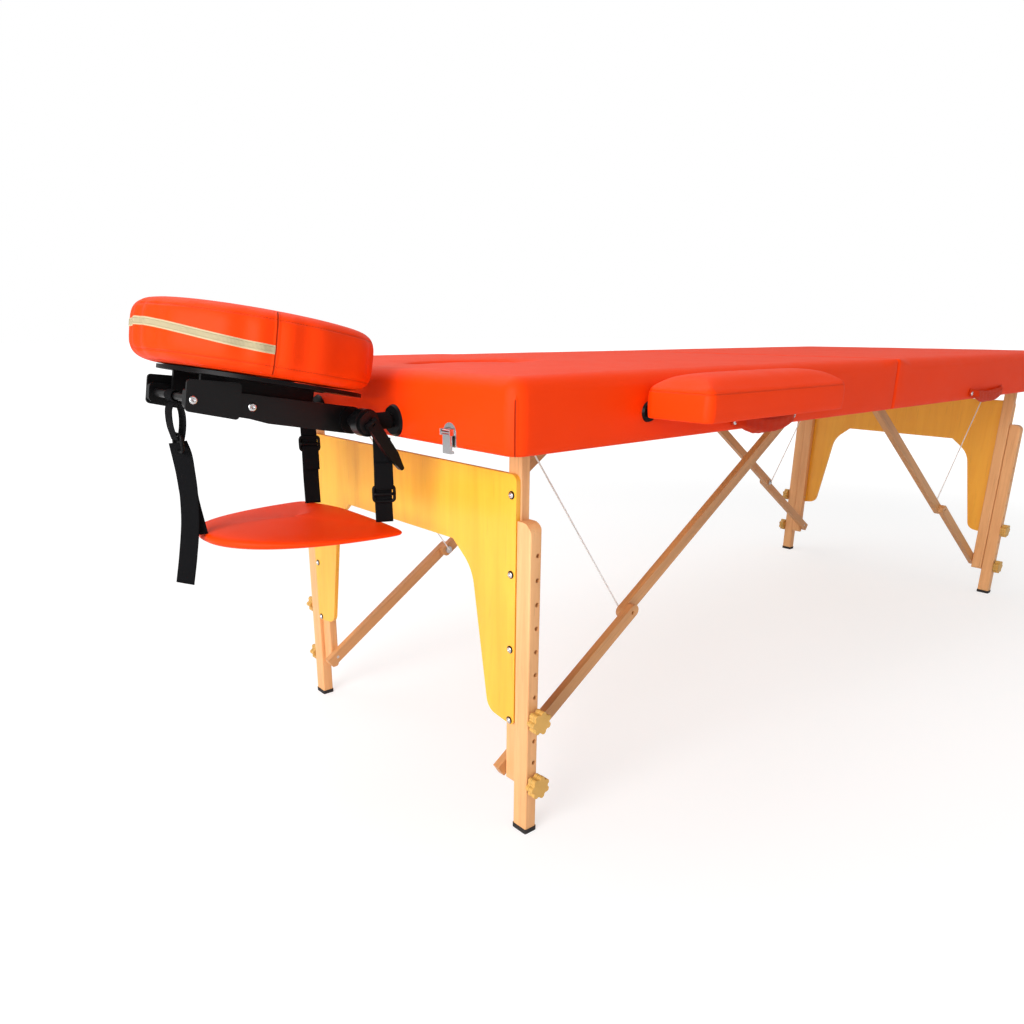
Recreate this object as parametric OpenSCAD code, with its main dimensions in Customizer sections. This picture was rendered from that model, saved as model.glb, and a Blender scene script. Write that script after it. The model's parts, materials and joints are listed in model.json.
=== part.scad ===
// Folding massage table with a face cradle, two side armrests and adjustable beech legs.
// The halves meet at X = 0, the head end is at -X, the near side at -Y and the floor at Z = 0.

/* [Table top] */
// Length of the whole top, both halves together
table_l = 1860; // [1780:10:1960]
// Width of the top over the vinyl
table_w = 700; // [680:10:780]
// Height of the frame's lower edge above the floor
edge_h = 550; // [540:1:570]
// Height of the beech frame rails
rail_h = 52; // [50:1:58]
// Thickness of the beech frame rails
rail_t = 20; // [16:1:21]
// Thickness of the plywood deck
deck_t = 5; // [4:0.5:8]
// Thickness of the foam above the deck, at its edge
foam_t = 32; // [25:1:60]
// Rise of the foam from its edge to its middle
foam_crown = 3; // [1:0.5:8]
// Thickness of the padded vinyl round the frame
skirt_t = 3; // [2:0.5:4]
// Radius of the top's corners in plan
corner_r = 22; // [12:1:40]
// Gap between the two halves
hinge_gap = 1; // [0.6:0.1:2]

/* [Breathing hole] */
// Length of the breathing hole along the table
hole_l = 220; // [180:5:240]
// Width of the breathing hole
hole_w = 136; // [110:2:150]
// Distance from the top's end to the middle of the breathing hole
hole_in = 215; // [200:5:240]
// Gap round the plug in the breathing hole
plug_gap = 0.3; // [0.3:0.1:1]

/* [Legs] */
// Distance from the top's end to the middle of the legs
leg_end_in = 80; // [60:1:85]
// Distance from the top's side to the inner face of the legs
leg_side_in = 93; // [92:1:100]
// Width of the inner leg across the table
leg_w = 25; // [20:1:25]
// Depth of the inner leg along the table
leg_d = 16; // [14:1:18]
// Height of the inner leg's lower end
leg_foot_h = 64; // [58:1:68]
// Height of the leg pivot above the frame's lower edge
pivot_up = 14; // [13:1:16]
// Radius of the leg pivot bolt
pivot_r = 4; // [3:0.5:5]
// Width of the sliding leg across the table
ext_w = 27; // [22:1:27]
// Depth of the sliding leg along the table
ext_d = 20; // [18:1:22]
// Height of the sliding leg's top
ext_top_h = 455; // [440:5:470]
// Pitch of the height holes
hole_pitch = 33.4; // [32:0.2:34]
// Number of height holes
hole_count = 11; // [10:1:11]
// Height of the lowest height hole
hole_first_h = 78; // [76:1:84]
// Number of pitches between the two height bolts of a leg
bolt_span = 3; // [2:1:4]
// Radius of the height bolts
bolt_r = 3; // [2.5:0.5:3.5]
// Height of the rubber foot
foot_h = 7; // [6:0.5:12]

/* [End panels] */
// Thickness of the end panel
panel_t = 7; // [5:1:9]
// Distance from the inner leg's outer face to the end panel's edge
panel_inset = 1; // [0.5:0.5:4]
// Distance from the frame's lower edge down to the end panel
panel_drop = 36; // [30:1:50]
// Height of the end panel's lower tips
panel_tip_h = 160; // [150:1:162]
// Height of the end panel above its arch
arch_h = 109; // [84:5:134]

/* [Braces] */
// Width of a brace
brace_w = 20; // [16:1:20]
// Thickness of a brace
brace_t = 12; // [10:1:13]
// Height of the lower brace's pivot on the leg
brace_foot_h = 88; // [84:1:104]
// Distance from the fold to the upper brace's pivot
brace_top_u = 135; // [110:5:160]
// Radius of the brace pivots
brace_pin_r = 3; // [2.5:0.5:3.5]
// Length of a brace past the knee pivot
knee_over = 4; // [2:1:6]
// Radius of the knee cable
cable_r = 1.2; // [0.8:0.1:1.5]

/* [Knobs] */
// Radius of a knob over its lobes
knob_r = 17; // [15:0.5:18]
// Thickness of a knob
knob_t = 15.5; // [12:0.5:16]
// Number of lobes on a knob
knob_lobes = 7; // [5:1:8]

/* [Face cradle] */
// Radius of the cradle posts
post_r = 9; // [8:0.5:10]
// Distance from the centre line to each post
post_y = 105; // [100:1:115]
// Height of the posts above the frame's lower edge
post_up = 22; // [22:1:26]
// Length of a post inside the table
post_in_l = 105; // [90:5:125]
// Distance from the table's end to the tilt pivot
tilt_out = 47; // [46:1:60]
// Radius of the tilt pivot's discs
tilt_disc_r = 18; // [16:1:20]
// Distance from the tilt pivot to the platform pivot
arm_l = 140; // [130:1:150]
// Distance from the platform pivot to the arm's outer end
arm_tip_l = 72; // [60:1:80]
// Upward slope of the arms and the platform, in degrees
cradle_slope = 10.4; // [6:0.2:14]
// Radius of the platform in plan
platform_r = 130; // [124:1:138]
// Thickness of the platform
platform_t = 5; // [4:0.5:6]
// Outer radius of the face cushion
face_r = 153; // [140:1:156]
// Inner radius of the face cushion
face_in_r = 52; // [45:1:60]
// Thickness of the face cushion
face_t = 76; // [60:1:90]

/* [Arm sling] */
// Length of the sling from its straight edge to its tip
sling_l = 214; // [180:2:220]
// Width of the sling across the table
sling_w = 300; // [260:5:320]
// Thickness of the sling
sling_t = 17; // [12:1:22]
// Height of the sling's middle below the frame's lower edge
sling_drop = 128; // [110:1:140]
// Width of the webbing straps
strap_w = 22; // [18:1:23]
// Thickness of the webbing straps
strap_t = 2.4; // [1.8:0.2:3]

/* [Armrests] */
// Length of an armrest along the table
arm_pad_l = 322; // [290:2:330]
// Width of an armrest
arm_pad_w = 102; // [90:2:120]
// Thickness of an armrest
arm_pad_t = 38; // [30:1:45]
// Distance from the top's end to the armrest's middle
arm_pad_in = 374; // [368:1:380]
// Distance between an armrest's two rods
rod_span = 290; // [260:2:290]
// Radius of an armrest rod
rod_r = 5.5; // [4:0.5:6]
// Height of the rods above the frame's lower edge
rod_up = 38; // [37:0.5:40]
// Length of a rod inside the table
rod_in_l = 82; // [60:2:84]

/* [Handles and fittings] */
// Distance between a handle's two rivets
handle_l = 160; // [130:5:180]
// Distance from the fold to the middle of a handle
handle_u = 430; // [420:5:440]
// Sag of a handle below its rivets
handle_sag = 24; // [16:1:30]
// Thickness of the handle's padded loop
handle_t = 12; // [8:1:16]
// Length of a fold hinge's leaf across the table
hinge_l = 70; // [50:5:90]
// Distance between neighbouring fold hinges
hinge_span = 210; // [180:5:220]
// Distance from the centre line to each end latch
latch_y = 231; // [225:1:240]

/* [Hidden] */

$fn = 48;
// Facets of a wire or a small lobe
wire_fn = 16;
lobe_fn = 24;
// Facets of the breathing hole and of the platform's rim
hole_fn = 32;
rim_fn = 72;
// Facets of a round stretch in an outline
arc_n = 6;

// Running clearance of a pin in its bore, on the radius
fit = 0.05;
// Clearance between pieces that pass or rest on each other
gap = 0.3;
// Overrun of a cut past the face that it opens
over = 1;
// Rounding of a worked timber edge
ease = 2.5;

// Table top
half_l = table_l / 2;
half_w = table_w / 2;
hole_u = half_l - hole_in;
arm_pad_u = half_l - arm_pad_in;
u_in = hinge_gap / 2;
rail_u0 = u_in + skirt_t + fit;
rail_u1 = half_l - skirt_t - fit;
rail_y1 = half_w - skirt_t - fit;
deck_z = edge_h + rail_h;
foam_z = deck_z + deck_t;
foam_top = foam_z + foam_t;
// Share of the size and share of the height of each ring of the foam, then of its crown
foam_ring_shares = [[1, 0], [1, 0.62], [0.9955, 0.88], [0.985, 1]];
crown_ring_shares = [[0.8, 0.5], [0.45, 0.87]];
// Depth of the plug's face below the foam's edge
plug_sink = 1;

// Legs
leg_u = half_l - leg_end_in;
leg_y = half_w - leg_side_in;
pivot_z = edge_h + pivot_up;
leg_u0 = leg_u - leg_d / 2;
leg_y1 = leg_y + leg_w;
leg_tip_share = 0.45;
panel_u = leg_u + leg_d / 2;
ext_u0 = panel_u + panel_t - ext_d;
ext_y0 = leg_y1 + gap;
ext_y1 = ext_y0 + ext_w;
ext_top_share = 0.55;
// The height bolts stand where the inner leg and the sliding leg overlap
bolt_u = (max(leg_u0, ext_u0) + panel_u) / 2;
bolt_hs = [hole_first_h, hole_first_h + bolt_span * hole_pitch];
foot_wall = 0.8;
foot_floor_share = 0.5;
foot_floor = foot_h * foot_floor_share;
thread_share = 0.6;

// End panels: share of the half width and rounding share of each corner of the outline
panel_half_w = leg_y1 - panel_inset;
panel_top_h = edge_h - panel_drop;
arch_top_h = panel_top_h - arch_h;
panel_tip_share = 0.8;
panel_hip_share = 0.674;
panel_arch_share = 0.519;
panel_hip_drop_share = 0.123;
panel_round_shares = [0.038, 0.03, 0.075, 0.21, 0];
screw_in = 9;
screw_y = panel_half_w - screw_in;
screw_count = 4;
screw_top_in = 27;
screw_tip_in = 6;
screw_r = 1.5;
screw_head_r = 4;
screw_head_t = 1.2;
screw_l = 14;

// Brace geometry: straight when the leg stands, folded flat against it when the leg is up
brace_rise = pivot_z - brace_foot_h;
brace_run = leg_u - brace_top_u;
brace_fold_a = 4.5;
// Length of the lower brace past its pivot on the leg
brace_heel = 19;
brace_sum = sqrt(brace_rise * brace_rise + brace_run * brace_run);
brace_diff = brace_run - brace_rise;
lower_l = (brace_sum * brace_sum - brace_diff * brace_diff)
    / (2 * (brace_sum + brace_diff * cos(brace_fold_a)));
upper_l = brace_sum - lower_l;
brace_a = atan2(brace_rise, brace_run);
knee_u = brace_top_u + upper_l * cos(brace_a);
knee_z = pivot_z - upper_l * sin(brace_a);
lower_y1 = leg_y - gap;
lower_y0 = lower_y1 - brace_t;
upper_y1 = lower_y0 - gap;
upper_y0 = upper_y1 - brace_t;

// Pivot brackets under the deck, and the knee cables
bracket_t = 3;
bracket_r = 13;
bracket_l = 46;
bracket_foot = 9;
bracket_round_share = 0.9;
bracket_z1 = deck_z - fit;
pin_head_r = 7;
pin_head_t = 3;
eye_r = 3.6;
eye_in = 12;
cable_y = upper_y0 - pin_head_t - cable_r - gap;
cable_top_u = leg_u - eye_in;
cable_top_z = deck_z - fit - eye_r;

// Knobs
knob_y0 = ext_y1 + gap;
knob_hub_share = 0.5;
knob_core_share = 0.8;
knob_lobe_share = 0.26;
knob_skirt_share = 0.15;
knob_bore_share = 0.7;

// Fold hinges
knuckle_r = 3.2;
leaf_t = 2.2;
leaf_w = 30;
hinge_pin_r = 1.6;
knuckles = 5;
leaf_z1 = edge_h - fit;
hinge_z = leaf_z1 - knuckle_r;

// End latches
latch_w = 26;
latch_h = 30;
latch_t = 2;
latch_pin_r = 2;
latch_pin_share = 0.62;
latch_ear_share = 0.4;
latch_round_share = 0.48;
hook_r = 3.5;
hook_t = 3;
hook_lip = 3;
hook_drop = 8;
latch_z = edge_h + latch_h * latch_pin_share;
latch_pin_u = half_l + latch_t + hook_r + gap;
catch_h_share = 0.7;
catch_lip_share = 0.3;
catch_lip = 5;

// Handles
handle_n = 12;
handle_rivet_up = 14;
handle_w = 26;
handle_end_share = 0.62;

// Sockets for the posts and the armrest rods
socket_wall = 3;
collar_t = 5;
collar_share = 0.86;
post_collar_r = 22;
rod_collar_r = 14;
bush_l = 34;
rod_us = [arm_pad_u - rod_span / 2, arm_pad_u + rod_span / 2];
rod_z = edge_h + rod_up;

// Face cradle
tilt_u = half_l + tilt_out;
tilt_z = edge_h + post_up;
cross_r = 8;
hub_l = 16;
disc_t = 5;
disc_share = 0.82;
disc_y0 = post_y + hub_l / 2 + gap;
arm_y0 = 60;
arm_t = 10;
arm_hub_over = 3;
arm_h = 30;
arm_root_h = 36;
arm_neck_share = 0.83;
arm_tip_share = 0.4;
arm_root_round = 8;
arm_tip_round = 6;
arm_neck_round = 20;
tie_r = 5;
tie_u = tilt_u + (arm_l + arm_tip_l) * cos(cradle_slope);
tie_z = tilt_z + (arm_l + arm_tip_l) * sin(cradle_slope);
plate_pin_r = 3;
plate_pin_over = 1;
plate_lift = 31;
plate_u = tilt_u + arm_l * cos(cradle_slope);
plate_z = tilt_z + arm_l * sin(cradle_slope);
// The platform and the face cushion share a centre, this far past the platform pivot
plate_back = 42;
plate_c = -plate_back;
plate_mouth = 60;
plate_tail = 108;
plate_rim_in = 10;
lug_y0 = 44;
lug_t = 6;
lug_r = 11;
// Long cheeks under the platform: how far each runs past the pivot, out and in, and its rounding
cheek_out = 58;
cheek_in = 92;
cheek_in_share = 0.35;
lug_round_share = 0.9;
// Outer bracket on each arm's end
tip_plate_t = 2.5;
tip_plate_in = 16;
tip_plate_drop = 3;
tip_plate_top_shares = [0.86, 0.72];
tip_plate_round = 5;

// Face cushion: facets round the section, along the arc and over each end, and its arc in degrees
face_n_s = 14;
face_n_t = 34;
face_end_n = 4;
face_arc = 298;
// Powers and shares that shape the section and its round ends
face_side_share = 0.42;
face_top_share = 0.5;
face_end_share = 0.5;
face_end_h_share = 0.55;
face_tip_share = 0.17;

// Tilt lever
lever_l = 78;
lever_w = 17;
lever_t = 8;
lever_a = 55;
lever_pin_r = 1.5;
lever_lug_r = 2.8;
lever_lug_w = 4;
lever_shares = [[0.7, -0.42], [1, -0.1], [1, 0.2], [0.6, 0.5]];
lever_round_shares = [0, 0.7, 0.12, 0.16, 0.7, 0];
lever_root_share = 0.49;
lever_y = disc_y0 + disc_t + gap + lever_t / 2;

// Arm sling
sling_z = edge_h - sling_drop;
sling_in = 16;
sling_u0 = half_l + sling_in;
sling_n = 20;
sling_edge_n = 6;
sling_curve_share = 0.9;
sling_centre_share = 0.42;
sling_ring_shares = [[0.5, 0], [0.93, 0.2], [1, 0.5], [0.93, 0.8], [0.5, 0.97]];
strap_seat_share = 0.85;

// Armrests
board_t = 12;
board_in = 4;
board_z0 = rod_z - board_t / 2;
rod_out_share = 0.8;
rod_out_l = arm_pad_w * rod_out_share;
pad_y0 = half_w + collar_t + gap;
pad_z0 = board_z0 + board_t + gap;
pad_inner_shares = [0.6, 0.3];
pad_outer_share = 0.1;
pad_ring_shares = [[0.985, 0], [1, 0.2], [1, 0.62], [0.975, 0.86], [0.93, 0.93], [0.6, 0.985]];

// A point list that rounds each corner of an outline by its own radius
function unit(v) = v / norm(v);
function turn(a) = a > 180 ? a - 360 : a < -180 ? a + 360 : a;
function corner(p, q, s, r) =
    let (a = unit(p - q), b = unit(s - q), h = acos(a * b) / 2)
    let (c = q + unit(a + b) * r / sin(h), f = q + a * r / tan(h) - c, g = q + b * r / tan(h) - c)
    let (a0 = atan2(f.y, f.x), da = turn(atan2(g.y, g.x) - a0))
    [for (k = [0:arc_n]) c + r * [cos(a0 + da * k / arc_n), sin(a0 + da * k / arc_n)]];
function rounded(pts, rads) =
    let (n = len(pts))
    [for (i = [0:n - 1])
        each (rads[i] == 0 ? [pts[i]]
            : corner(pts[(i + n - 1) % n], pts[i], pts[(i + 1) % n], rads[i]))];
function backwards(list) = [for (i = [len(list) - 1:-1:0]) list[i]];
function box_pts(x0, y0, x1, y1) = [[x0, y0], [x1, y0], [x1, y1], [x0, y1]];
function ellipse_pts(cx, cy, rx, ry, n) =
    [for (k = [0:n - 1]) [cx + rx * cos(360 * k / n), cy + ry * sin(360 * k / n)]];
// A power of a number's size that keeps its sign
function signed_pow(v, p) = v == 0 ? 0 : sign(v) * pow(abs(v), p);
// Rings of a soft form from shares, between two heights
function rings_of(shares, z0, h) = [for (s = shares) [s[0], z0 + h * s[1]]];

// A closed soft form: rings of one outline, each with its share of the size and its height
module soft_form(outline, centre, rings, rise) {
    n = len(outline);
    m = len(rings);
    pts = [
        for (r = rings, p = outline) [centre.x + (p.x - centre.x) * r[0],
            centre.y + (p.y - centre.y) * r[0], r[1]],
        [centre.x, centre.y, rings[0][1]],
        [centre.x, centre.y, rise]
    ];
    sides = [for (k = [0:m - 2], i = [0:n - 1]) let (j = (i + 1) % n)
        each [[k * n + i, (k + 1) * n + j, k * n + j],
            [k * n + i, (k + 1) * n + i, (k + 1) * n + j]]];
    caps = [for (i = [0:n - 1]) let (j = (i + 1) % n)
        each [[m * n, i, j], [m * n + 1, (m - 1) * n + j, (m - 1) * n + i]]];
    polyhedron(pts, concat(sides, caps));
}

module on_head() {
    mirror([1, 0, 0]) children();
}
module on_near() {
    mirror([0, 1, 0]) children();
}
module both_sides() {
    children();
    on_near() children();
}
// A cylinder along +Y from one side distance to another
module cyl_y(u, z, r, y0, y1) {
    translate([u, y1, z]) rotate([90, 0, 0]) cylinder(r = r, h = y1 - y0);
}
// A cylinder along +X from one distance to another
module cyl_x(y, z, r, u0, u1) {
    translate([u0, y, z]) rotate([0, 90, 0]) cylinder(r = r, h = u1 - u0);
}
// A plate of the XZ outline, from one side distance to another
module plate_y(pts, y0, y1) {
    translate([0, y1, 0]) rotate([90, 0, 0]) linear_extrude(y1 - y0) polygon(pts);
}
// A plate of the YZ outline, from one distance to another
module plate_x(pts, u0, u1) {
    translate([u0, 0, 0]) rotate([90, 0, 90]) linear_extrude(u1 - u0) polygon(pts);
}
module block(lo, hi) {
    translate(lo) cube(hi - lo);
}

// Top
function top_outline() = rounded(
    box_pts(u_in, -half_w, half_l, half_w),
    [ease, corner_r, corner_r, ease]);
// The frame's outline inside the skirt, grown by a clearance
function frame_outline(grow) =
    let (r = corner_r - skirt_t - fit + grow)
    rounded(
        box_pts(rail_u0 - grow, -rail_y1 - grow, rail_u1 + grow, rail_y1 + grow),
        [0, r, r, 0]);
module top_cushion() {
    rings = concat(
        rings_of(foam_ring_shares, foam_z + fit, foam_t - fit),
        rings_of(crown_ring_shares, foam_top, foam_crown));
    soft_form(top_outline(), [(u_in + half_l) / 2, 0], rings, foam_top + foam_crown);
}
module hole_cut(z0, z1, grow) {
    translate([0, 0, z0]) linear_extrude(z1 - z0)
        polygon(ellipse_pts(hole_u, 0, hole_l / 2 + grow, hole_w / 2 + grow, hole_fn));
}
module skirt() {
    translate([0, 0, edge_h]) linear_extrude(rail_h + deck_t) difference() {
        polygon(top_outline());
        polygon(frame_outline(fit));
    }
}
module frame() {
    rail_z1 = deck_z - fit;
    cross_y = rail_y1 - rail_t;
    intersection() {
        union() {
            both_sides() block([rail_u0, cross_y, edge_h], [rail_u1, rail_y1, rail_z1]);
            block([rail_u0, -cross_y, edge_h], [rail_u0 + rail_t, cross_y, rail_z1]);
            block([rail_u1 - rail_t, -cross_y, edge_h], [rail_u1, cross_y, rail_z1]);
        }
        translate([0, 0, edge_h]) linear_extrude(rail_h) polygon(frame_outline(0));
    }
}
module deck() {
    translate([0, 0, deck_z]) linear_extrude(deck_t) polygon(frame_outline(0));
}

// Brackets and pivot bolts
module bracket_ear(u, y0, y1) {
    bend = bracket_r * bracket_round_share;
    ear = rounded(
        [[u - bracket_r, pivot_z - bracket_r], [u + bracket_r, pivot_z - bracket_r],
            [u + bracket_l / 2, bracket_z1], [u - bracket_l / 2, bracket_z1]],
        [bend, bend, 0, 0]);
    difference() {
        plate_y(ear, y0, y1);
        cyl_y(u, pivot_z, pivot_r + fit, y0 - over, y1 + over);
    }
}
module bracket_flange(u, y0, y1) {
    block([u - bracket_l / 2, y0, bracket_z1 - bracket_t], [u + bracket_l / 2, y1, bracket_z1]);
}
module clevis(u, y0, y1) {
    in_y = y0 - gap - bracket_t;
    out_y = y1 + gap + bracket_t;
    bracket_ear(u, in_y, y0 - gap);
    bracket_ear(u, y1 + gap, out_y);
    bracket_flange(u, in_y - bracket_foot, in_y);
    bracket_flange(u, out_y, out_y + bracket_foot);
    headed_pin(u, pivot_z, pivot_r, in_y - fit, out_y + fit);
}
module headed_pin(u, z, r, y0, y1) {
    cyl_y(u, z, r, y0, y1);
    cyl_y(u, z, pin_head_r, y0 - pin_head_t, y0);
    cyl_y(u, z, pin_head_r, y1, y1 + pin_head_t);
}
module cable_eye() {
    translate([cable_top_u, cable_y, cable_top_z]) rotate([90, 0, 0])
        rotate_extrude() translate([eye_r - cable_r, 0]) circle(cable_r, $fn = wire_fn);
}
module brackets() {
    both_sides() {
        clevis(leg_u, leg_y, leg_y1);
        clevis(brace_top_u, upper_y0, upper_y1);
    }
}
module cables() {
    du = cable_top_u - knee_u;
    dz = cable_top_z - knee_z;
    both_sides() translate([knee_u, cable_y, knee_z]) rotate([0, atan2(du, dz), 0])
        cylinder(r = cable_r, h = norm([du, dz]) - eye_r - gap, $fn = wire_fn);
}

// Legs
module leg_shape(u0, d, y0, w, z0, z1) {
    translate([u0, y0, z0]) linear_extrude(z1 - z0)
        polygon(rounded(box_pts(0, 0, d, w), [ease, ease, ease, ease]));
}
module inner_legs() {
    tip = leg_d * leg_tip_share;
    both_sides() difference() {
        intersection() {
            leg_shape(leg_u0, leg_d, leg_y, leg_w, leg_foot_h, pivot_z + leg_d / 2);
            union() {
                cyl_y(leg_u, pivot_z, leg_d / 2, leg_y, leg_y1);
                plate_y(rounded(box_pts(leg_u0, leg_foot_h, panel_u, pivot_z), [tip, tip, 0, 0]),
                    leg_y, leg_y1);
            }
        }
        cyl_y(leg_u, pivot_z, pivot_r + fit, leg_y - over, leg_y1 + over);
        cyl_y(leg_u, brace_foot_h, brace_pin_r + fit, leg_y - over, leg_y1 + over);
        for (h = bolt_hs)
            cyl_y(bolt_u, h, bolt_r + fit, leg_y - over, leg_y1 + over);
        screw_bores();
    }
}
module sliding_leg() {
    difference() {
        intersection() {
            leg_shape(ext_u0, ext_d, ext_y0, ext_w, foot_floor, ext_top_h);
            plate_x(rounded(box_pts(ext_y0, foot_floor, ext_y1, ext_top_h),
                [0, 0, ext_w * ext_top_share, ease]), ext_u0, ext_u0 + ext_d);
        }
        for (k = [0:hole_count - 1])
            cyl_y(bolt_u, hole_first_h + k * hole_pitch, bolt_r + gap, ext_y0 - over, ext_y1 + over);
    }
}
module rubber_foot() {
    difference() {
        leg_shape(ext_u0 - foot_wall, ext_d + 2 * foot_wall, ext_y0 - foot_wall,
            ext_w + 2 * foot_wall, 0, foot_h);
        leg_shape(ext_u0 - fit, ext_d + 2 * fit, ext_y0 - fit, ext_w + 2 * fit,
            foot_floor - fit, foot_h + over);
    }
}
function panel_side() = [
    [panel_half_w, panel_top_h],
    [panel_half_w, panel_tip_h],
    [panel_half_w * panel_tip_share, panel_tip_h + 3 * ease],
    [panel_half_w * panel_hip_share, arch_top_h - panel_half_w * panel_hip_drop_share],
    [panel_half_w * panel_arch_share, arch_top_h]
];
module end_panel() {
    other = [for (p = backwards(panel_side())) [-p.x, p.y]];
    rads = [for (s = panel_round_shares) s * panel_half_w];
    difference() {
        plate_x(rounded(concat(panel_side(), other), concat(rads, backwards(rads))),
            panel_u + fit, panel_u + panel_t);
        both_sides() screw_bores();
    }
}
function screw_hs() =
    let (top = panel_top_h - screw_top_in, low = panel_tip_h + screw_tip_in)
    [for (k = [0:screw_count - 1]) low + (top - low) * k / (screw_count - 1)];
module screw_bores() {
    for (h = screw_hs())
        cyl_x(screw_y, h, screw_r + fit, panel_u + panel_t - screw_l - over, panel_u + panel_t + over);
}
module leg_bolts() {
    face_u = panel_u + panel_t + fit;
    both_sides() {
        cyl_y(leg_u, brace_foot_h, brace_pin_r, lower_y0 + gap, leg_y1 - fit);
        for (h = bolt_hs)
            cyl_y(bolt_u, h, bolt_r, leg_y + fit, knob_y0 + knob_t * thread_share);
        for (h = screw_hs()) {
            cyl_x(screw_y, h, screw_r, face_u - screw_l, face_u);
            cyl_x(screw_y, h, screw_head_r, face_u, face_u + screw_head_t);
        }
    }
}
module knob(h) {
    translate([bolt_u, knob_y0, h]) rotate([-90, 0, 0]) difference() {
        union() {
            cylinder(r = knob_r * knob_hub_share, h = knob_t);
            translate([0, 0, knob_t * knob_skirt_share])
                linear_extrude(knob_t * (1 - knob_skirt_share)) knob_star();
        }
        translate([0, 0, -over]) cylinder(r = bolt_r + fit, h = knob_t * knob_bore_share + over);
    }
}
module knob_star() {
    circle(knob_r * knob_core_share);
    for (k = [0:knob_lobes - 1])
        rotate(360 * k / knob_lobes) translate([knob_r * (1 - knob_lobe_share), 0])
            circle(knob_r * knob_lobe_share, $fn = lobe_fn);
}

// Braces
module brace(l, tail, heel) {
    difference() {
        union() {
            translate([-heel, -brace_w / 2, 0]) cube([l + tail + heel, brace_w, brace_t]);
            cylinder(r = brace_w / 2, h = brace_t);
            translate([l + tail, 0, 0]) cylinder(r = brace_w / 2, h = brace_t);
        }
        translate([0, 0, -over]) children();
        translate([l, 0, -over]) cylinder(r = brace_pin_r + fit, h = brace_t + 2 * over);
    }
}
module upper_braces() {
    both_sides() translate([brace_top_u, upper_y1, pivot_z]) rotate([0, brace_a, 0])
        rotate([90, 0, 0])
            brace(upper_l, knee_over, 0) cylinder(r = pivot_r + fit, h = brace_t + 2 * over);
}
module lower_braces() {
    both_sides() translate([leg_u, lower_y1, brace_foot_h]) rotate([0, brace_a - 180, 0])
        rotate([90, 0, 0])
            brace(lower_l, knee_over, brace_heel) cylinder(r = brace_pin_r + fit, h = brace_t + 2 * over);
}
module knee_bolts() {
    both_sides() {
        cyl_y(knee_u, knee_z, brace_pin_r, upper_y0 - fit, upper_y1 - fit);
        cyl_y(knee_u, knee_z, pin_head_r, upper_y0 - fit - pin_head_t, upper_y0 - fit);
    }
}

// Fold hinges, latches and handles
module leaf(odd) {
    part_l = hinge_l / knuckles;
    for (h = [-1:1])
        translate([0, h * hinge_span - hinge_l / 2, 0]) difference() {
            union() {
                block([u_in + gap, 0, leaf_z1 - leaf_t], [u_in + leaf_w, hinge_l, leaf_z1]);
                for (k = [odd:2:knuckles - 1]) {
                    cyl_y(0, hinge_z, knuckle_r, k * part_l + gap / 2, (k + 1) * part_l - gap / 2);
                    block([0, k * part_l + gap / 2, leaf_z1 - leaf_t],
                        [leaf_w / 2, (k + 1) * part_l - gap / 2, leaf_z1]);
                }
            }
            cyl_y(0, hinge_z, hinge_pin_r + fit, -over, hinge_l + over);
            for (k = [1 - odd:2:knuckles - 1])
                cyl_y(0, hinge_z, knuckle_r + gap, k * part_l - gap / 2, (k + 1) * part_l + gap / 2);
        }
}
module hinge_pins() {
    for (h = [-1:1])
        translate([0, h * hinge_span - hinge_l / 2, 0]) cyl_y(0, hinge_z, hinge_pin_r, 0, hinge_l);
}
module latch_plate() {
    bend = latch_w * latch_round_share;
    ear_y1 = latch_w * latch_ear_share;
    plate = rounded(box_pts(-latch_w / 2, edge_h, latch_w / 2, edge_h + latch_h),
        [ease, ease, bend, bend]);
    both_sides() translate([0, latch_y, 0]) {
        plate_x(plate, half_l + fit, half_l + latch_t);
        difference() {
            for (y = [-ear_y1, ear_y1 - latch_t])
                block([half_l + latch_t, y, latch_z - 2 * latch_pin_r],
                    [latch_pin_u + 2 * latch_pin_r, y + latch_t, latch_z + 2 * latch_pin_r]);
            cyl_y(latch_pin_u, latch_z, latch_pin_r + fit, -latch_w, latch_w);
        }
    }
}
module latch_hook() {
    w = latch_w * latch_ear_share - latch_t - gap;
    z0 = edge_h - hook_drop;
    both_sides() translate([0, latch_y, 0]) {
        cyl_y(latch_pin_u, latch_z, hook_r, -w, w);
        cyl_y(latch_pin_u, latch_z, latch_pin_r, -latch_w * latch_ear_share, latch_w * latch_ear_share);
        block([latch_pin_u - hook_t / 2, -w, z0], [latch_pin_u + hook_t / 2, w, latch_z]);
        block([latch_pin_u - hook_t / 2 - hook_lip, -w, z0], [latch_pin_u, w, z0 + hook_t]);
    }
}
module latch_catch() {
    lip_z = edge_h + latch_h * catch_lip_share;
    plate = rounded(
        box_pts(-latch_w / 2, edge_h + over, latch_w / 2, edge_h + latch_h * catch_h_share),
        [ease, ease, ease, ease]);
    both_sides() translate([0, latch_y, 0]) {
        plate_x(plate, half_l + fit, half_l + latch_t);
        block([half_l + latch_t - fit, -latch_w / 4, lip_z],
            [half_l + latch_t + catch_lip, latch_w / 4, lip_z + latch_t]);
    }
}
function handle_mid(s) = edge_h + handle_rivet_up - handle_sag * (1 - pow(2 * s - 1, 2));
function handle_half(s) =
    handle_w / 2 * (handle_end_share + (1 - handle_end_share) * sin(180 * s));
module handle() {
    x0 = handle_u - handle_l / 2;
    steps = [for (k = [0:handle_n]) k / handle_n];
    top = [for (s = steps) [x0 + handle_l * s, handle_mid(s) + handle_half(s)]];
    low = [for (s = steps) [x0 + handle_l * s, handle_mid(s) - handle_half(s)]];
    on_near() plate_y(concat(low, backwards(top)), half_w + gap, half_w + gap + handle_t);
}

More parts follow.
